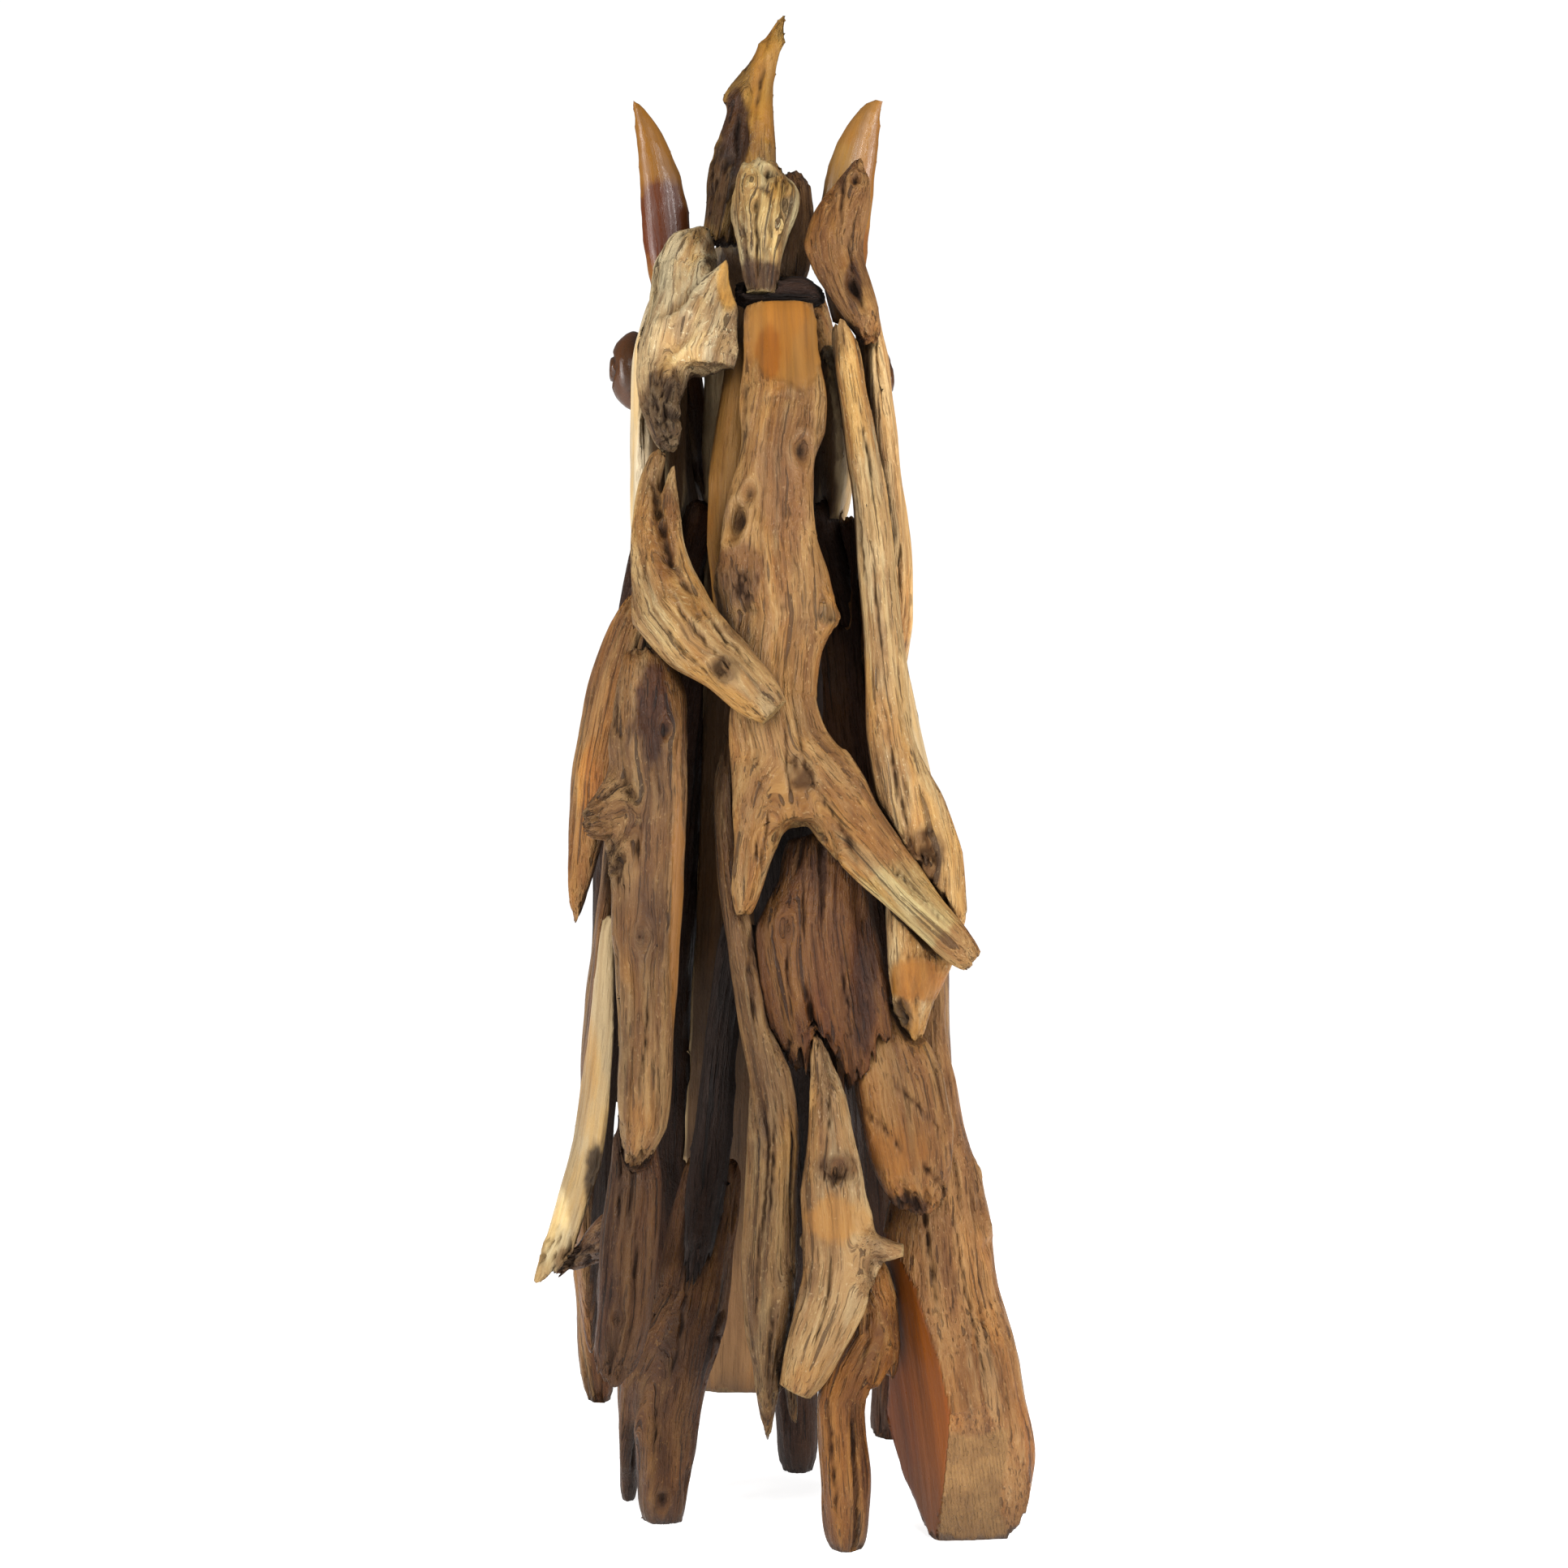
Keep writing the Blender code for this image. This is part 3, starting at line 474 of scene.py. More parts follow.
# Carving that the photograph doesn't show, on the face: half its width, its depth, and its way
CARVED = {
    "muzzle": [
        (10, 18, [(-96, 592, 1152), (-90, 601, 1140), (-78, 609, 1130)]),
        (10, 18, [(4, 592, 1152), (-2, 601, 1140), (-14, 609, 1130)]),
        (4, 7, [(-84, 520, 1110), (-102, 560, 1106), (-90, 600, 1100), (-46, 617, 1096),
                (-2, 600, 1100), (10, 560, 1106), (-8, 520, 1110)]),
        (14, 6, [(-46, 600, 1170), (-46, 616, 1130)]),
    ],
    "left_eye": [
        (3, 6.5, [(-243, 84, 1552), (-250, 98, 1568), (-251, 112, 1574), (-250, 126, 1570),
                  (-242, 141, 1556), (-250, 126, 1534), (-252, 112, 1530), (-250, 98, 1534),
                  (-243, 84, 1552)]),
    ],
    "right_eye": [
        (3, 6.5, [(149, 87, 1538), (155, 101, 1554), (156, 115, 1560), (155, 129, 1556),
                  (148, 144, 1542), (155, 129, 1520), (157, 115, 1516), (155, 101, 1520),
                  (149, 87, 1538)]),
    ],
    "left_cheek": [
        (10, 6, [(-196, 70, 1560), (-200, 130, 1500), (-196, 190, 1440)]),
        (7, 5, [(-196, 60, 1420), (-192, 130, 1350), (-180, 200, 1310)]),
    ],
    "right_cheek": [
        (10, 6, [(104, 70, 1560), (108, 130, 1500), (104, 190, 1440)]),
        (7, 5, [(104, 60, 1420), (100, 130, 1350), (88, 200, 1310)]),
    ],
    "nose_bridge": [
        (12, 5, [(-80, 120, 1700), (-82, 260, 1560), (-74, 400, 1410)]),
        (12, 5, [(-12, 120, 1700), (-10, 260, 1560), (-18, 400, 1410)]),
    ],
}


def drawn(points):
    """Metres in the frame as part.py's millimetres."""
    return points / MM + MIDDLE


def placed(points):
    """Part.py's millimetres as metres in the frame."""
    return (np.asarray(points, float) - MIDDLE) * MM


def flattened(points):
    """Where the camera sees points, as millimetres on a plane at the nearest face."""
    scale = (points[:, 1] - CAMERA[1]) / (NEAR_PLANE - CAMERA[1])
    return np.stack([points[:, 0] / scale, (points[:, 2] - CAMERA[2]) / scale], 1)


def seen(x, z):
    """A place read from the photograph, on the same plane."""
    return np.array([x, z - CAMERA[2]])


GRADIENTS = np.array(
    [g for g in itertools.product((-1, 0, 1), repeat=3) if sum(map(abs, g)) == 2], np.float32
)


def noise(points, seed):
    """Smooth noise, about -1 to 1, with waves about one unit long."""
    order = np.random.default_rng(seed).permutation(256)
    cell = np.floor(points).astype(np.int64)
    part = (points - cell).astype(np.float32)
    ease = part ** 3 * (part * (part * 6 - 15) + 10)
    total = np.zeros(len(points), np.float32)
    for corner in itertools.product((0, 1), repeat=3):
        x, y, z = ((cell + corner) & 255).T
        pick = order[(order[(order[x] + y) & 255] + z) & 255] % len(GRADIENTS)
        slope = ((part - np.array(corner, np.float32)) * GRADIENTS[pick]).sum(1)
        total += slope * np.prod(np.where(corner, ease, 1 - ease), axis=1)
    return total


def stretched(grain, across, along, seed, octaves=1):
    """Noise in the grain: waves this many mm across it and along it, with finer ones on top."""
    total = np.zeros(len(grain), np.float32)
    size = 1.0
    for octave in range(octaves):
        waves = grain / np.array([across, across, along]) * 2 ** octave + 37.7 * seed
        total += size * noise(waves, seed + 101 * octave)
        size *= 0.5
    return total


def smoothstep(low, high, value):
    t = np.clip((value - low) / (high - low), 0, 1)
    return t * t * (3 - 2 * t)


def main_axes(points):
    """Rows: across the piece, outward and along it, the last one pointing down."""
    _, _, axes = np.linalg.svd(points - points.mean(0), full_matrices=False)
    along, across, _ = axes
    if along[2] > 0:
        along = -along
    return np.stack([across, np.cross(along, across), along])


def fine_skin(node, cell):
    """Points and four-cornered faces of a fine skin on a solid, long with the piece."""
    mesh = node.data.copy()
    bm = bmesh.new()
    bm.from_mesh(mesh)
    bmesh.ops.remove_doubles(bm, verts=bm.verts, dist=1e-6)
    bm.to_mesh(mesh)
    bm.free()
    points = np.empty(len(mesh.vertices) * 3)
    mesh.vertices.foreach_get("co", points)
    points = points.reshape(-1, 3)
    axes = main_axes(points)
    squash = np.array([1, 1, 1 / STRETCH])
    mesh.vertices.foreach_set("co", (points @ axes.T * squash).ravel())
    mesh.update()
    skin = bpy.data.objects.new("skin", mesh)
    bpy.context.scene.collection.objects.link(skin)
    remesh = skin.modifiers.new("Skin", "REMESH")
    remesh.mode = "VOXEL"
    remesh.voxel_size = cell
    fine = skin.evaluated_get(bpy.context.evaluated_depsgraph_get()).to_mesh()
    points = np.empty(len(fine.vertices) * 3)
    fine.vertices.foreach_get("co", points)
    faces = np.empty(len(fine.loops), np.int64)
    fine.loops.foreach_get("vertex_index", faces)
    bpy.data.objects.remove(skin)
    bpy.data.meshes.remove(mesh)
    return points.reshape(-1, 3) / squash @ axes, faces.reshape(-1, 4), axes


def vertex_normals(points, faces):
    corners = points[faces]
    flat = np.cross(corners[:, 2] - corners[:, 0], corners[:, 3] - corners[:, 1])
    count = len(points)
    total = np.zeros((count, 3))
    for axis in range(3):
        weights = np.repeat(flat[:, axis], 4)
        total[:, axis] = np.bincount(faces.ravel(), weights, count)
    return total / np.maximum(np.linalg.norm(total, axis=1, keepdims=True), 1e-12)


class Links:
    """Each vertex's neighbours, for spreading values over a skin."""

    def __init__(self, points, faces):
        pairs = np.concatenate([faces[:, [i, (i + 1) % 4]] for i in range(4)])
        self.start = np.concatenate([pairs[:, 0], pairs[:, 1]])
        self.end = np.concatenate([pairs[:, 1], pairs[:, 0]])
        self.count = len(points)
        length = np.linalg.norm(points[self.start] - points[self.end], axis=1)
        self.weight = 1 / np.maximum(length, 0.3 * CELL) ** 2
        self.weight /= np.bincount(self.end, self.weight, self.count)[self.end]

    def mean(self, values):
        """The weighted mean of each vertex's neighbours."""
        if values.ndim == 1:
            return np.bincount(self.end, self.weight * values[self.start], self.count)
        return np.stack([self.mean(column) for column in values.T], 1)

    def spread(self, values, rounds, share=0.6):
        for _ in range(rounds):
            values = values + share * (self.mean(values) - values)
        return values


def own_line(points, axes):
    """The grain line of a plain piece: the middles of slices along it."""
    local = points @ axes.T
    along = local[:, 2]
    slices = 10
    edges = np.linspace(along.min(), along.max(), slices + 1)
    middles = []
    for low, high in zip(edges, edges[1:]):
        inside = local[(along >= low) & (along <= high)]
        if len(inside):
            middle = (inside.min(0) + inside.max(0)) / 2
            middles.append(middle)
    middles = np.array(middles)
    middles[1:-1] = (middles[:-2] + 2 * middles[1:-1] + middles[2:]) / 4
    return middles @ axes


def along_line(points, line, outward):
    """By a grain line: each point's place across, outward and along, its distance and its way."""
    nearest = np.full(len(points), np.inf)
    place = np.zeros((len(points), 3))
    ways = np.zeros((len(points), 3))
    run = 0.0
    last = len(line) - 2
    for i, (start, end) in enumerate(zip(line, line[1:])):
        length = np.linalg.norm(end - start)
        way = (end - start) / length
        side = np.cross(way, outward)
        side /= np.linalg.norm(side)
        low = -math.inf if i == 0 else 0.0
        high = math.inf if i == last else length
        reach = np.clip((points - start) @ way, low, high)
        off = points - start - reach[:, None] * way
        distance = np.linalg.norm(off, axis=1)
        near = distance < nearest
        nearest[near] = distance[near]
        out = np.cross(side, way)
        place[near] = np.stack([off @ side, off @ out, run + reach], 1)[near]
        ways[near] = way
        run += length
    return place, nearest, ways, run


def grain_of(name, points, axes):
    """Grain places in metres, the way of the grain, and how far the ends are, top and bottom."""
    lines = GRAIN_LINES.get(name)
    if not lines:
        line = own_line(points, axes)
        place, _, ways, run = along_line(points, line, axes[1])
        return place, ways, place[:, 2], run - place[:, 2]
    outward = np.array([0.0, -1.0, 0.0])
    total = np.zeros((len(points), 3))
    total_ways = np.zeros((len(points), 3))
    weights = np.zeros(len(points))
    bottoms = np.zeros(len(points))
    stem = placed(lines[0])
    for line in lines:
        line = placed(line)
        place, distance, ways, run = along_line(points, line, outward)
        start = along_line(line[:1], stem, outward)[0][0, 2] if weights.any() else 0.0
        bottom = run - place[:, 2]
        place[:, 2] += start
        weight = 1 / (distance ** 2 + (4 * MM) ** 2) ** 3
        # Beyond a limb's own ends it counts less
        weight *= np.exp(-np.clip(-np.minimum(place[:, 2] - start, bottom), 0, None) / (8 * MM))
        total += weight[:, None] * place
        total_ways += weight[:, None] * ways
        bottoms += weight * bottom
        weights += weight
    total_ways /= np.linalg.norm(total_ways, axis=1, keepdims=True)
    place = total / weights[:, None]
    return place, total_ways, place[:, 2], bottoms / weights


def on_face(points, point, outward):
    return np.abs((points - placed(point)) @ (outward / np.linalg.norm(outward))) < 1.2 * MM


def flats_of(name, points, normals, ways, tops, bottoms):
    """On sawn ends, sawn faces and undersides the way that they look, and elsewhere nothing."""
    flats = np.zeros((len(points), 3))
    facing = np.abs((normals * ways).sum(1)) > 0.8
    ends = CUT_ENDS.get(name, [])
    for key, reach in ((TOP, tops), (BOTTOM, bottoms)):
        if key in ends:
            cut = facing & (reach < 14 * MM)
            flats[cut] = ways[cut]
    for point, outward in SAWN_FACES.get(name, []) + PLANED_FACES.get(name, []):
        flats[on_face(points, point, outward)] = outward / np.linalg.norm(outward)
    flats[points[:, 2] < 0.6 * MM] = (0, 0, 1)
    return flats


def in_plane(moves, flats):
    """Moves, less what would lift a flat face out of its plane."""
    return moves - (moves * flats).sum(1, keepdims=True) * flats


def nearest_seen(points, normals, x, z):
    """The vertex that the camera sees at a measured place."""
    flat = flattened(drawn(points))
    gap = np.linalg.norm(flat - seen(x, z), axis=1)
    gap += np.where(normals[:, 1] < -0.15, 0, 1000)
    return int(np.argmin(gap))


def knots_of(name, points, normals, rng):
    """Knots as vertex, radius and depth in mm: the measured ones, and on other sides a few more."""
    knots = [(nearest_seen(points, normals, x, z), radius, depth)
             for x, z, radius, depth in KNOTS.get(name, [])]
    hidden = np.flatnonzero(normals[:, 1] > 0.2)
    size = np.ptp(points, axis=0).max()
    if len(hidden):
        for _ in range(int(size / 0.3)):
            knots.append((int(rng.choice(hidden)), rng.uniform(8, 14), rng.uniform(-4, 8)))
    return knots


def flow_round(grain, knots):
    """Bends the grain round the knots, as it grows, and tells how near each point is to one."""
    bent = grain.copy()
    inside = np.zeros(len(grain))
    depth = np.zeros(len(grain))
    for vertex, radius, deep in knots:
        away = grain - grain[vertex]
        away[:, 2] /= 1.6
        distance = np.linalg.norm(away, axis=1) / radius
        push = 1 / (distance ** 2 + 0.25)
        near = distance < 6
        bent[near, :2] -= (away[near, :2] * push[near, None]) * np.exp(-distance[near, None] / 3)
        inside = np.maximum(inside, np.exp(-(distance / 0.8) ** 2))
        rim = np.exp(-((distance - 1.15) / 0.4) ** 2)
        depth += deep * np.exp(-(distance / 0.75) ** 2) - abs(deep) * 0.3 * rim
    return bent, inside, depth


def by_route(points, route):
    """Each point's distance from a route, its share of the way along it, and its side of it."""
    lengths = np.linalg.norm(np.diff(route, axis=0), axis=1)
    total = lengths.sum()
    run = 0.0
    best = np.full(len(points), np.inf)
    share = np.zeros(len(points))
    side = np.zeros(len(points))
    for start, end, length in zip(route, route[1:], lengths):
        way = (end - start) / length
        reach = np.clip((points - start) @ way, 0, length)
        off = points - start - reach[:, None] * way
        distance = np.linalg.norm(off, axis=1)
        near = distance < best
        best[near] = distance[near]
        share[near] = (run + reach[near]) / total
        side[near] = np.sign(way[0] * off[near, 1] - way[1] * off[near, 0])
        run += length
    return best, share, side


def strokes_of(name, points, normals):
    """Depth in mm of the measured strokes, and the painted shade in their cracks and at their steps."""
    depth = np.zeros(len(points))
    painted_shade = np.zeros(len(points))
    if name not in STROKES:
        return depth, painted_shade
    flat = flattened(drawn(points))
    facing = smoothstep(0.05, 0.4, -normals[:, 1])
    spots = np.stack([flat[:, 0] / 16, flat[:, 1] / 22, flat[:, 0] * 0], 1)
    wobble = np.stack([noise(spots, 5), noise(spots, 6)], 1) * 3.5
    broken = 0.35 + 0.65 * smoothstep(-0.3, 0.25, noise(spots * 1.3, 8))
    for kind, half_width, deep, route in STROKES[name]:
        distance, share, side = by_route(flat + wobble, np.array([seen(x, z) for x, z in route]))
        taper = np.sqrt(np.clip(np.sin(np.pi * np.clip(share, 0.02, 0.98)), 0, 1)) * facing
        if kind == STEP:
            fade = np.exp(-distance / (9 * half_width))
            depth += deep * taper * fade * (0.5 + 0.5 * np.tanh(side * distance / 1.5))
            # Painted shade along the low side of the step's edge
            painted_shade = np.maximum(painted_shade, 0.5 * taper * (side > 0) * np.exp(-(distance / half_width) ** 2))
            continue
        groove = np.exp(-(distance / (half_width * (0.35 + 0.65 * taper) + 0.4)) ** 2) * taper
        if kind == CRACK:
            depth = np.maximum(depth, deep * groove * broken)
            # Painted shade in the crack
            painted_shade = np.maximum(painted_shade, groove * broken)
        else:
            depth += deep * groove
    return depth, painted_shade


def carving_of(name, points):
    """Depth in mm of the carving on the face, and the painted shade in its deep grooves."""
    depth = np.zeros(len(points))
    painted_shade = np.zeros(len(points))
    for half_width, deep, route in CARVED.get(name, []):
        distance, _, _ = by_route(points, placed(route))
        groove = np.exp(-(distance / MM / half_width) ** 2)
        depth += deep * groove
        # Deep grooves get painted shade
        if deep > 6:
            painted_shade = np.maximum(painted_shade, 0.8 * groove)
    return depth, painted_shade


def patches_of(patches, points, normals):
    """How far each point lies in one of the measured patches, whose edges wander."""
    inside = np.zeros(len(points))
    flat = flattened(drawn(points))
    spots = np.stack([flat[:, 0] / 22, flat[:, 1] / 30, flat[:, 0] * 0], 1)
    edge = 0.3 * noise(spots, 11) + 0.15 * noise(spots * 3, 12)
    for x, z, half_width, half_height, *share in patches:
        away = (flat - seen(x, z)) / (half_width, half_height)
        patch = 1 - smoothstep(0.7, 1.1, np.linalg.norm(away, axis=1) + edge)
        inside = np.maximum(inside, (share[0] if share else 1.0) * patch)
    return inside * smoothstep(-0.1, 0.3, -normals[:, 1])


def inner_shade_share(points, normals):
    """1 where the wood looks towards the sculpture's middle, which gets painted shade."""
    spine = placed(SPINE)
    nearest = np.full(len(points), np.inf)
    outward = np.zeros((len(points), 3))
    for start, end in zip(spine, spine[1:]):
        way = end - start
        share = np.clip((points - start) @ way / (way @ way), 0, 1)
        off = points - start - share[:, None] * way
        distance = np.linalg.norm(off, axis=1)
        near = distance < nearest
        nearest[near] = distance[near]
        outward[near] = off[near] / np.maximum(distance[near, None], 1e-6)
    return smoothstep(0.15, 0.65, -(normals * outward).sum(1))


def tones_and_shade_of(name, slot, points, normals, gnarl):
    """What each point's colour is multiplied by: the piece's own tone, its stains, and painted shade inside.
    """
    tone_and_shade = np.array(TONES.get(name, USUAL_TONES[slot])) * (1 + 0.18 * gnarl[:, None])
    for *patch, stain in STAINS.get(name, []):
        inside = patches_of([patch], points, normals)[:, None]
        tone_and_shade = tone_and_shade * (1 + inside * (np.array(stain) - 1))
    for point, outward in PLANED_FACES.get(name, []):
        tone_and_shade[on_face(points, point, outward)] *= PLANED_FACE_TONE
    # Painted shade on the sides that look inward, and all over the hidden pieces, lighter near the floor
    high = smoothstep(*INSIDE_SHADE_HEIGHTS, points[:, 2] / MM)[:, None]
    inside_shade_tone = high * np.array(INSIDE_SHADE_TONE) + (1 - high) * np.array(LOW_INSIDE_SHADE_TONE)
    inner_shade = 1.0 if name in HIDDEN else inner_shade_share(points, normals)[:, None]
    tone_and_shade = tone_and_shade * (1 + inner_shade * (inside_shade_tone - 1))
    return np.concatenate([tone_and_shade, np.ones((len(points), 1))], 1)


def carve(name, slot, node, number):
    """One piece: its skin, smoothed and carved, as a mesh with what the materials read."""
    cell = PLAIN_CELL if name in PLAIN else CELL
    points, faces, axes = fine_skin(node, cell)
    place, ways, tops, bottoms = grain_of(name, points, axes)
    flats = flats_of(name, points, vertex_normals(points, faces), ways, tops, bottoms)
    crisp = np.linalg.norm(flats, axis=1)
    links = Links(points, faces)
    # Thin tips are smoothed less, or they would draw in
    radius = np.linalg.norm(place[:, :2], axis=1)
    share = 0.65 * np.clip(radius / (20 * MM), 0.1, 1)[:, None]
    for _ in range(round(SMOOTHING_ROUNDS * (CELL / cell) ** 2)):
        points = points + in_plane(share * (links.mean(points) - points), flats)
    normals = vertex_normals(points, faces)
    rng = np.random.default_rng(number)
    grain = place / MM
    knots = knots_of(name, points, normals, rng)
    bent, knotted, knot_depth = flow_round(grain, knots)
    bent = bent + 400.0 * number
    furrow_share, gnarl_share, polish = WEAR[slot]
    planed = np.maximum(patches_of(PLANED.get(name, []), points, normals), polish)
    rotten = patches_of(ROTTEN.get(name, []), points, normals)
    thickness = np.ptp(points @ axes.T, axis=0).min() / MM
    size = np.clip(thickness / 55, 0.3, 1.0)
    rough = furrow_share * (1 - 0.9 * planed)
    # Swirls, which the finer carving follows
    swirl = stretched(bent, 70, 260, 1, 2)
    swirled = bent + np.stack([swirl, -swirl, 0 * swirl], 1) * 5
    gnarl = stretched(swirled, 58, 150, 2, 2)
    ropes = stretched(swirled, 24, 300, 3, 2)
    furrows = smoothstep(0.1, 0.5, stretched(swirled, 10, 150, 4))
    fine = smoothstep(0.05, 0.5, stretched(swirled, 6.5, 90, 5))
    where = smoothstep(-0.2, 0.3, stretched(bent, 70, 160, 6, 2))
    checks = smoothstep(0.32, 0.5, stretched(swirled, 15, 330, 7))
    checks *= smoothstep(0.0, 0.25, stretched(bent, 60, 210, 8))
    pits = smoothstep(0.0, 0.45, stretched(bent, 13, 22, 13, 3))
    depth = rough * size * (
        2.6 * (0.4 - np.abs(ropes)) * (0.4 + 0.6 * where) + 2.2 * where * furrows + 0.9 * where * fine
        + 5.0 * checks
    )
    stroke_depth, stroke_shade = strokes_of(name, points, normals)
    carving_depth, carving_shade = carving_of(name, points)
    gnarl_share *= GNARLED.get(name, 1.0)
    depth -= gnarl_share * size * 5.0 * gnarl * (1 - 0.6 * (planed > 0.8))
    depth += rotten * 6.5 * (pits - 0.35) * min(size * 1.6, 1.0)
    depth += knot_depth * (0.4 + 0.6 * furrow_share) + stroke_depth + carving_depth
    if name in WORN_EDGES:
        edge = smoothstep(0.45, 0.9, np.abs(normals @ axes[0]))
        depth += edge * 9.0 * smoothstep(-0.2, 0.6, stretched(bent + 91.0, 60, 120, 14, 2))
    depth = np.clip(depth, -0.42 * thickness, 0.42 * thickness)
    # Hollows: painted shade in furrows, checks, cracks, deep carving and knot holes, and in rotten patches
    # partly the rot's own darkness
    hollow_and_shade = np.clip(np.maximum.reduce([
        rough * (0.16 * furrows * where + 0.5 * checks), 0.85 * stroke_shade, carving_shade,
        knotted * np.clip(knot_depth / 8, 0, 1), rotten * (0.3 + 0.45 * pits),
    ]), 0, 1) * (1 - crisp)
    moves = -normals * depth[:, None] * MM
    # Broken ends: the fibres stop at different lengths
    top_break, bottom_break = BROKEN.get(name, (0, 0) if slot in UNBROKEN_WOODS else USUAL_BREAK)
    shreds = np.clip(np.abs(stretched(swirled, 17, 900, 9, 2)) * 2.2, 0, 1)
    for ends, deep, way, key in ((tops, top_break, 1, TOP), (bottoms, bottom_break, -1, BOTTOM)):
        if key in CUT_ENDS.get(name, []) or not deep:
            continue
        near = np.clip(1 - ends / MM / (deep * 2.6), 0, 1)
        moves += ways * (way * deep * shreds * near ** 1.5 * MM)[:, None]
    points = np.clip(points + in_plane(moves, flats), *np.array(cad_box))
    shape = links.spread(depth, 14)
    # Raised ridges: partly real wear, partly a painted highlight
    worn_and_highlit = smoothstep(0.1, 1.4, shape - depth) * (1 - crisp)
    sawn = (points[:, 2] > 0.6 * MM) * crisp
    for point, outward in PLANED_FACES.get(name, []):
        sawn *= ~on_face(points, point, outward)
        planed = np.maximum(planed, 0.9 * on_face(points, point, outward))
    if name in SAWN_FACES:
        flat = flattened(drawn(points)) + 9 * noise(points / 0.05, 15)[:, None]
        sawn *= 1 - smoothstep(-4, 4, flat[:, 1] + CAMERA[2] - END_GRAIN_TOP)
        sawn *= 1 - smoothstep(-4, 4, flat[:, 0] - END_GRAIN_RIGHT)
    mesh = bpy.data.meshes.new(name + "_wood")
    mesh.from_pydata(points.tolist(), [], faces.tolist())
    mesh.polygons.foreach_set("use_smooth", np.ones(len(faces), bool))
    add_attribute(mesh, "grain", "FLOAT_VECTOR", "vector", bent * MM)
    marks = np.stack([hollow_and_shade, planed, sawn, worn_and_highlit], 1)
    add_attribute(mesh, "marks", "FLOAT_COLOR", "color", marks)
    add_attribute(mesh, "tone_and_shade", "FLOAT_COLOR", "color", tones_and_shade_of(name, slot, points, normals, gnarl))
    return mesh


def add_attribute(mesh, name, kind, field, values):
    attribute = mesh.attributes.new(name, kind, "POINT")
    attribute.data.foreach_set(field, np.ascontiguousarray(values, np.float32).ravel())


class Graph:
    """A material's nodes, added a line at a time."""

    def __init__(self, name):
        self.material = bpy.data.materials.new(name)
        self.material.use_nodes = True
        self.tree = self.material.node_tree
        self.shader = self.tree.nodes["Principled BSDF"]

    def node(self, kind, inputs, **settings):
        node = self.tree.nodes.new(kind)
        for key, value in settings.items():
            setattr(node, key, value)
        for key, value in inputs.items():
            if isinstance(value, bpy.types.NodeSocket):
                self.tree.links.new(value, node.inputs[key])
            else:
                node.inputs[key].default_value = value
        return node

    def attribute(self, name, output):
        return self.node("ShaderNodeAttribute", {}, attribute_name=name).outputs[output]

    def noise(self, vector, across, along, detail=3, roughness=0.55, distortion=0.0):
        """Noise with this many waves a metre across the grain and along it."""
        scaled = self.node(
            "ShaderNodeVectorMath", {0: vector, 1: (across, across, along)}, operation="MULTIPLY"
        )
        texture = self.node("ShaderNodeTexNoise", {
            "Vector": scaled.outputs[0], "Scale": 1.0, "Detail": detail, "Roughness": roughness,
            "Distortion": distortion,
        })
        return texture.outputs["Fac"]

    def math(self, operation, first, second=0.0, clamp=False):
        node = self.node("ShaderNodeMath", {0: first, 1: second}, operation=operation)
        node.use_clamp = clamp
        return node.outputs[0]

    def ranged(self, value, low, high, to_low=0.0, to_high=1.0):
        node = self.node("ShaderNodeMapRange", {
            "Value": value, "From Min": low, "From Max": high, "To Min": to_low, "To Max": to_high,
        }, interpolation_type="SMOOTHSTEP")
        return node.outputs[0]

    def mix(self, factor, first, second, blend="MIX"):
        node = self.node("ShaderNodeMix", {}, data_type="RGBA", blend_type=blend)
        for socket, value in ((node.inputs[0], factor), (node.inputs[6], first),
                              (node.inputs[7], second)):
            if isinstance(value, bpy.types.NodeSocket):
                self.tree.links.new(value, socket)
            else:
                socket.default_value = value
        return node.outputs[2]

    def ramp(self, value, *stops):
        node = self.node("ShaderNodeValToRGB", {"Fac": value})
        elements = node.color_ramp.elements
        while len(elements) < len(stops):
            elements.new(0.5)
        for element, (position, colour) in zip(elements, stops):
            element.position = position
            element.color = (*colour, 1)
        return node.outputs["Color"]

    def link(self, value, name):
        self.tree.links.new(value, self.shader.inputs[name])


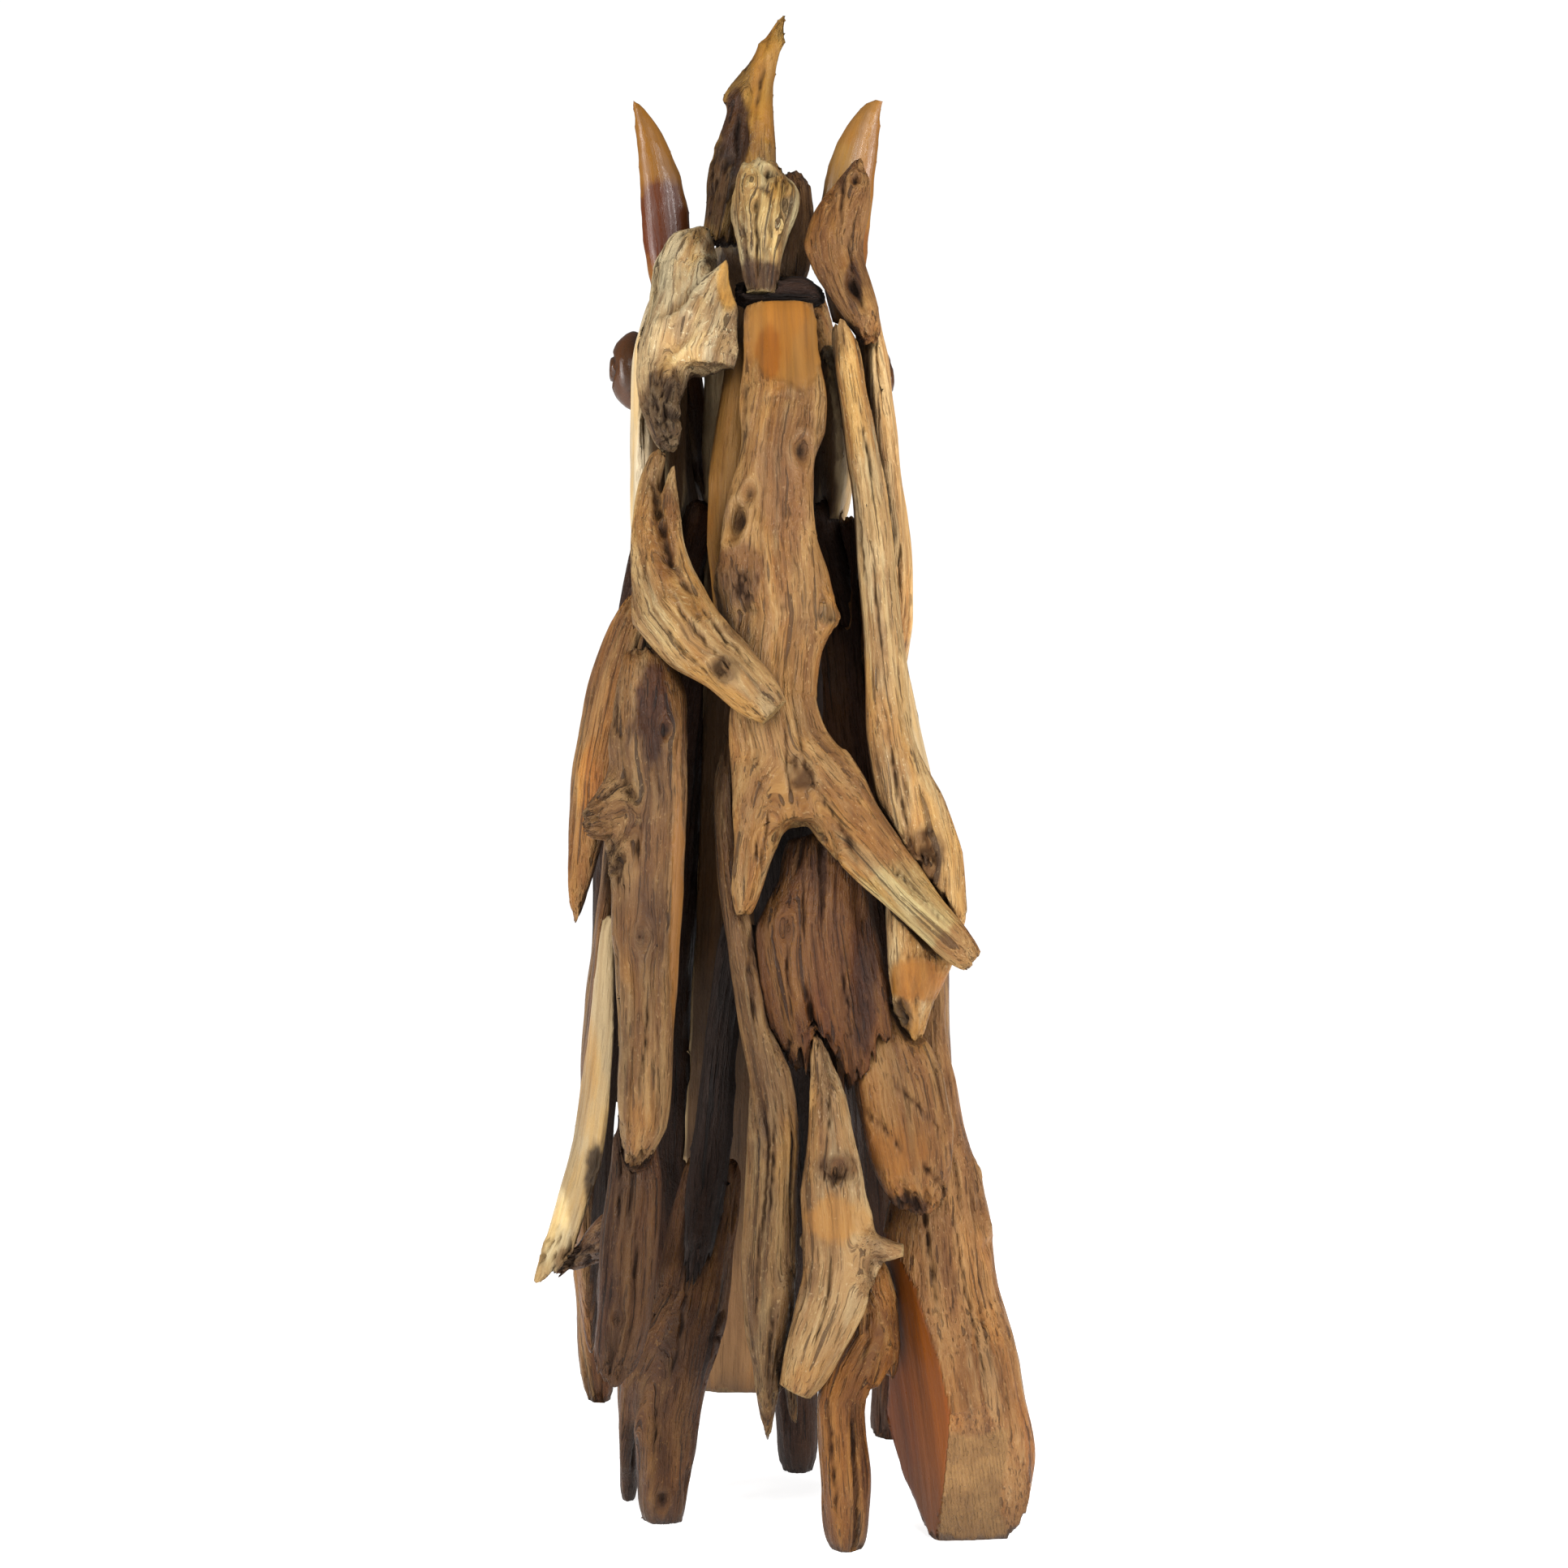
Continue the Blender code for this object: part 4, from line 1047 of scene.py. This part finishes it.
# Colours of each wood: in the furrows, also used as painted shade, its body, its ridges, the worn tops, also
# used as a painted highlight, and planed wood
WOODS = {
    "weathered_teak": {
        "deep": (0.070, 0.031, 0.012), "body": (0.20, 0.100, 0.042), "ridge": (0.36, 0.205, 0.090),
        "worn_and_highlit": (0.56, 0.390, 0.215), "planed": (0.40, 0.185, 0.050), "gloss": 0.42,
    },
    "golden_teak": {
        "deep": (0.095, 0.042, 0.014), "body": (0.27, 0.135, 0.052), "ridge": (0.45, 0.265, 0.112),
        "worn_and_highlit": (0.62, 0.440, 0.240), "planed": (0.36, 0.175, 0.046), "gloss": 0.40,
    },
    "pale_teak": {
        "deep": (0.20, 0.105, 0.042), "body": (0.42, 0.265, 0.125), "ridge": (0.60, 0.430, 0.240),
        "worn_and_highlit": (0.72, 0.570, 0.370), "planed": (0.60, 0.430, 0.230), "gloss": 0.38,
    },
    "dark_teak": {
        "deep": (0.030, 0.015, 0.008), "body": (0.085, 0.045, 0.022), "ridge": (0.17, 0.095, 0.046),
        "worn_and_highlit": (0.26, 0.160, 0.085), "planed": (0.20, 0.105, 0.040), "gloss": 0.55,
    },
    "polished_teak": {
        "deep": (0.14, 0.055, 0.016), "body": (0.31, 0.145, 0.042), "ridge": (0.42, 0.215, 0.070),
        "worn_and_highlit": (0.50, 0.280, 0.105), "planed": (0.37, 0.175, 0.050), "gloss": 0.30,
    },
    "eye_teak": {
        "deep": (0.04, 0.017, 0.008), "body": (0.12, 0.055, 0.022), "ridge": (0.18, 0.090, 0.036),
        "worn_and_highlit": (0.24, 0.120, 0.050), "planed": (0.12, 0.054, 0.020), "gloss": 0.24,
    },
}


def tint(colour, factor):
    return tuple(min(1.0, c * factor) for c in colour)


def full(colour):
    return (*colour, 1)


def wood_material(slot):
    wood = WOODS[slot]
    graph = Graph(slot + "_finish")
    # Old dry wood shines less than polished wood
    graph.shader.inputs["Specular IOR Level"].default_value = (
        POLISHED_SPECULAR if slot in UNBROKEN_WOODS else DRY_SPECULAR
    )
    grain = graph.attribute("grain", "Vector")
    marks = graph.node("ShaderNodeSeparateColor", {"Color": graph.attribute("marks", "Color")})
    hollow_and_shade, planed, sawn = marks.outputs
    worn_and_highlit = graph.attribute("marks", "Alpha")
    tone_and_shade = graph.attribute("tone_and_shade", "Color")
    fibre = graph.noise(grain, 900, 15, 2)
    streak = graph.noise(grain, 210, 4.5, 4, 0.62)
    band = graph.noise(grain, 48, 2.2, 3, 0.55, 0.5)
    unplaned = graph.math("SUBTRACT", 1.0, planed, True)
    # Weathered wood: streaks with the grain, lighter on the raised ridges, partly from wear, partly as a
    # painted highlight
    mixed = graph.math("ADD", graph.math("MULTIPLY", streak, 0.30), graph.math("MULTIPLY", band, 0.50))
    mixed = graph.math("ADD", mixed, graph.math("MULTIPLY", fibre, 0.20))
    outer = graph.ramp(
        mixed, (0.35, tint(wood["body"], 0.55)), (0.45, tint(wood["body"], 1.15)),
        (0.56, wood["ridge"]), (0.72, wood["worn_and_highlit"]),
    )
    outer = graph.mix(graph.math("MULTIPLY", worn_and_highlit, 0.35), outer, full(wood["worn_and_highlit"]))
    # Planed wood: smooth bands
    smooth = graph.ramp(
        graph.math("ADD", graph.math("MULTIPLY", band, 0.7), graph.math("MULTIPLY", streak, 0.3)),
        (0.3, tint(wood["planed"], 0.6)), (0.48, wood["planed"]), (0.62, tint(wood["planed"], 1.2)),
        (0.75, tint(wood["planed"], 1.5)),
    )
    colour = graph.mix(planed, outer, smooth)
    # Large stains: golden where the brush took the grey away, brown where it didn't, and silver
    golden = graph.noise(grain, 13, 4.0, 3, 0.6)
    brown = graph.noise(grain, 17, 5.5, 4, 0.62)
    silver = graph.noise(grain, 24, 3.5, 4, 0.62)
    colour = graph.mix(graph.ranged(golden, 0.47, 0.62, 0.0, 0.8), colour, (1.10, 0.93, 0.62, 1),
                       "MULTIPLY")
    colour = graph.mix(
        graph.math("MULTIPLY", graph.ranged(brown, 0.50, 0.63, 0.0, 0.8), unplaned), colour,
        (0.52, 0.46, 0.44, 1), "MULTIPLY",
    )
    colour = graph.mix(
        graph.math("MULTIPLY", graph.ranged(silver, 0.54, 0.66, 0.0, 0.55), unplaned), colour,
        full(tint(wood["worn_and_highlit"], 0.9)),
    )
    # Short dark pores and long thin cracks
    pores = graph.ranged(graph.noise(grain, 430, 20, 1), 0.60, 0.70, 0.0, 0.5)
    cracks = graph.ranged(graph.noise(grain, 165, 2.6, 1.5, 0.4), 0.65, 0.69, 0.0, 0.8)
    lines = graph.math("MULTIPLY", graph.math("MAXIMUM", pores, cracks), unplaned)
    colour = graph.mix(lines, colour, full(tint(wood["deep"], 0.6)))
    # Small worn flecks
    flecks = graph.noise(grain, 330, 150, 2, 0.7)
    colour = graph.mix(graph.math("MULTIPLY", graph.ranged(flecks, 0.60, 0.72, 0.0, 0.5), unplaned),
                       colour, full(tint(wood["worn_and_highlit"], 1.15)))
    # Sawn ends: growth rings round the heart
    ring_noise = graph.noise(grain, 30, 30, 3)
    away = graph.node("ShaderNodeVectorMath", {0: grain, 1: (1, 1, 0)}, operation="MULTIPLY")
    rings = graph.node("ShaderNodeTexWave", {
        "Vector": away.outputs[0], "Scale": 70.0, "Distortion": 3.0, "Detail": 2.0,
    }, wave_type="BANDS")
    end_grain = graph.mix(graph.math("MULTIPLY", rings.outputs["Fac"], 0.5), (0.44, 0.28, 0.12, 1),
                          (0.28, 0.155, 0.060, 1))
    end_grain = graph.mix(graph.ranged(ring_noise, 0.4, 0.62, 0.0, 0.5), end_grain,
                          (0.22, 0.12, 0.045, 1))
    colour = graph.mix(sawn, colour, end_grain)
    # Painted shade in the hollows, partly the real darkness of rot
    colour = graph.mix(hollow_and_shade, colour, full(tint(wood["deep"], 0.4)))
    # The piece's tone and stains, with the painted shade on its inner sides
    colour = graph.mix(1.0, colour, tone_and_shade, "MULTIPLY")
    # Painted shade: darker where other wood hides the surface from the room, between the pieces and in
    # crevices
    occlusion = graph.node("ShaderNodeAmbientOcclusion", {"Distance": 0.2}, samples=6)
    occluded_shade = graph.ranged(occlusion.outputs["AO"], 0.08, 0.72, 0.88, 0.0)
    colour = graph.mix(occluded_shade, colour, full(tint(wood["deep"], 0.25)))
    graph.link(colour, "Base Color")
    # Ridges are rubbed, furrows are dry
    roughness = graph.ranged(streak, 0.36, 0.64, wood["gloss"] + 0.14, wood["gloss"] - 0.04)
    roughness = graph.math("SUBTRACT", roughness, graph.math("MULTIPLY", worn_and_highlit, 0.08))
    roughness = graph.math("SUBTRACT", roughness, graph.ranged(flecks, 0.55, 0.7, 0.0, 0.12))
    roughness = graph.math("ADD", roughness, graph.math("MULTIPLY", hollow_and_shade, 0.4), True)
    graph.link(roughness, "Roughness")
    height = graph.math("ADD", graph.math("MULTIPLY", fibre, 0.4), graph.math("MULTIPLY", streak, 1.1))
    height = graph.math("ADD", height, graph.math("MULTIPLY", flecks, 0.7))
    height = graph.math("SUBTRACT", height, graph.math("MULTIPLY", lines, 1.2))
    height = graph.math("MULTIPLY", height, graph.ranged(planed, 0.0, 1.0, 1.0, 0.1))
    bump = graph.node("ShaderNodeBump", {"Strength": 1.0, "Distance": 0.0030, "Height": height})
    graph.link(bump.outputs[0], "Normal")
    return graph.material


def dress():
    materials = {slot: wood_material(slot) for slot in WOODS}
    slots = {p["node"]: p["material_slot"] for p in frame["record"]["subparts"]}
    for number, name in enumerate(sorted(frame["nodes"])):
        slot = slots[name]
        mesh = carve(name, slot, frame["nodes"][name], number)
        mesh.materials.append(materials[slot])
        piece = bpy.data.objects.new(name + "_wood", mesh)
        bpy.context.scene.collection.objects.link(piece)
        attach(piece, "root")
        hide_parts(name)


POLISHED_SPECULAR = 0.5
DRY_SPECULAR = 0.26
ROOM_LIGHT = 0.24
BACKGROUND_LIGHT = 1.05  # what the camera sees of the room
FLOOR_GLOW = 0.86
FLOOR_REACH = 30.0
LENS = 50
SENSOR = 36
# Name, place, what it points at, its size, and its power
LIGHTS = [
    ("right_strip", (2.3, -1.9, 1.9), (0, 0, 1.1), (0.6, 2.2), 72),
    ("left_strip", (-2.3, -1.7, 1.8), (0, 0, 1.1), (0.6, 2.2), 60),
    ("front", (0.7, -3.4, 3.0), (0, 0, 1.1), (0.8, 0.8), 42),
]


def area_light(name, place, aim, size, power):
    light = bpy.data.lights.new(name, "AREA")
    light.shape = "RECTANGLE"
    light.size, light.size_y = size
    light.energy = power
    obj = bpy.data.objects.new(name, light)
    bpy.context.scene.collection.objects.link(obj)
    obj.location = place
    way = np.array(aim, float) - np.array(place, float)
    flat = math.hypot(way[0], way[1])
    obj.rotation_euler = (math.atan2(flat, -way[2]), 0, math.atan2(-way[0], way[1]))


def studio():
    """White all round for the camera, strip lights from both sides, and a soft one from the front."""
    world = bpy.data.worlds.new("studio")
    world.use_nodes = True
    nodes = world.node_tree.nodes
    background = nodes["Background"]
    background.inputs["Color"].default_value = (1, 1, 1, 1)
    path = nodes.new("ShaderNodeLightPath")
    strength = nodes.new("ShaderNodeMapRange")
    strength.inputs["To Min"].default_value = ROOM_LIGHT
    strength.inputs["To Max"].default_value = BACKGROUND_LIGHT
    world.node_tree.links.new(path.outputs["Is Camera Ray"], strength.inputs["Value"])
    world.node_tree.links.new(strength.outputs[0], background.inputs["Strength"])
    bpy.context.scene.world = world
    for name, place, aim, size, power in LIGHTS:
        area_light(name, place, aim, size, power)
    mesh = bpy.data.meshes.new("floor")
    turns = ((-1, -1), (1, -1), (1, 1), (-1, 1))
    corners = [(FLOOR_REACH * x, FLOOR_REACH * y, 0) for x, y in turns]
    mesh.from_pydata(corners, [], [(0, 1, 2, 3)])
    floor = bpy.data.objects.new("floor", mesh)
    bpy.context.scene.collection.objects.link(floor)
    material = bpy.data.materials.new("floor_finish")
    material.use_nodes = True
    shader = material.node_tree.nodes["Principled BSDF"]
    shader.inputs["Base Color"].default_value = (0.86, 0.86, 0.86, 1)
    shader.inputs["Roughness"].default_value = 0.9
    shader.inputs["Emission Color"].default_value = (1, 1, 1, 1)
    shader.inputs["Emission Strength"].default_value = FLOOR_GLOW
    mesh.materials.append(material)


def camera():
    data = bpy.data.cameras.new("camera")
    data.lens = LENS
    data.sensor_width = SENSOR
    obj = bpy.data.objects.new("camera", data)
    bpy.context.scene.collection.objects.link(obj)
    obj.location = placed(CAMERA)
    obj.rotation_euler = (math.pi / 2, 0, 0)
    bpy.context.scene.camera = obj


dress()
studio()
camera()
bpy.context.scene.view_settings.view_transform = "Standard"
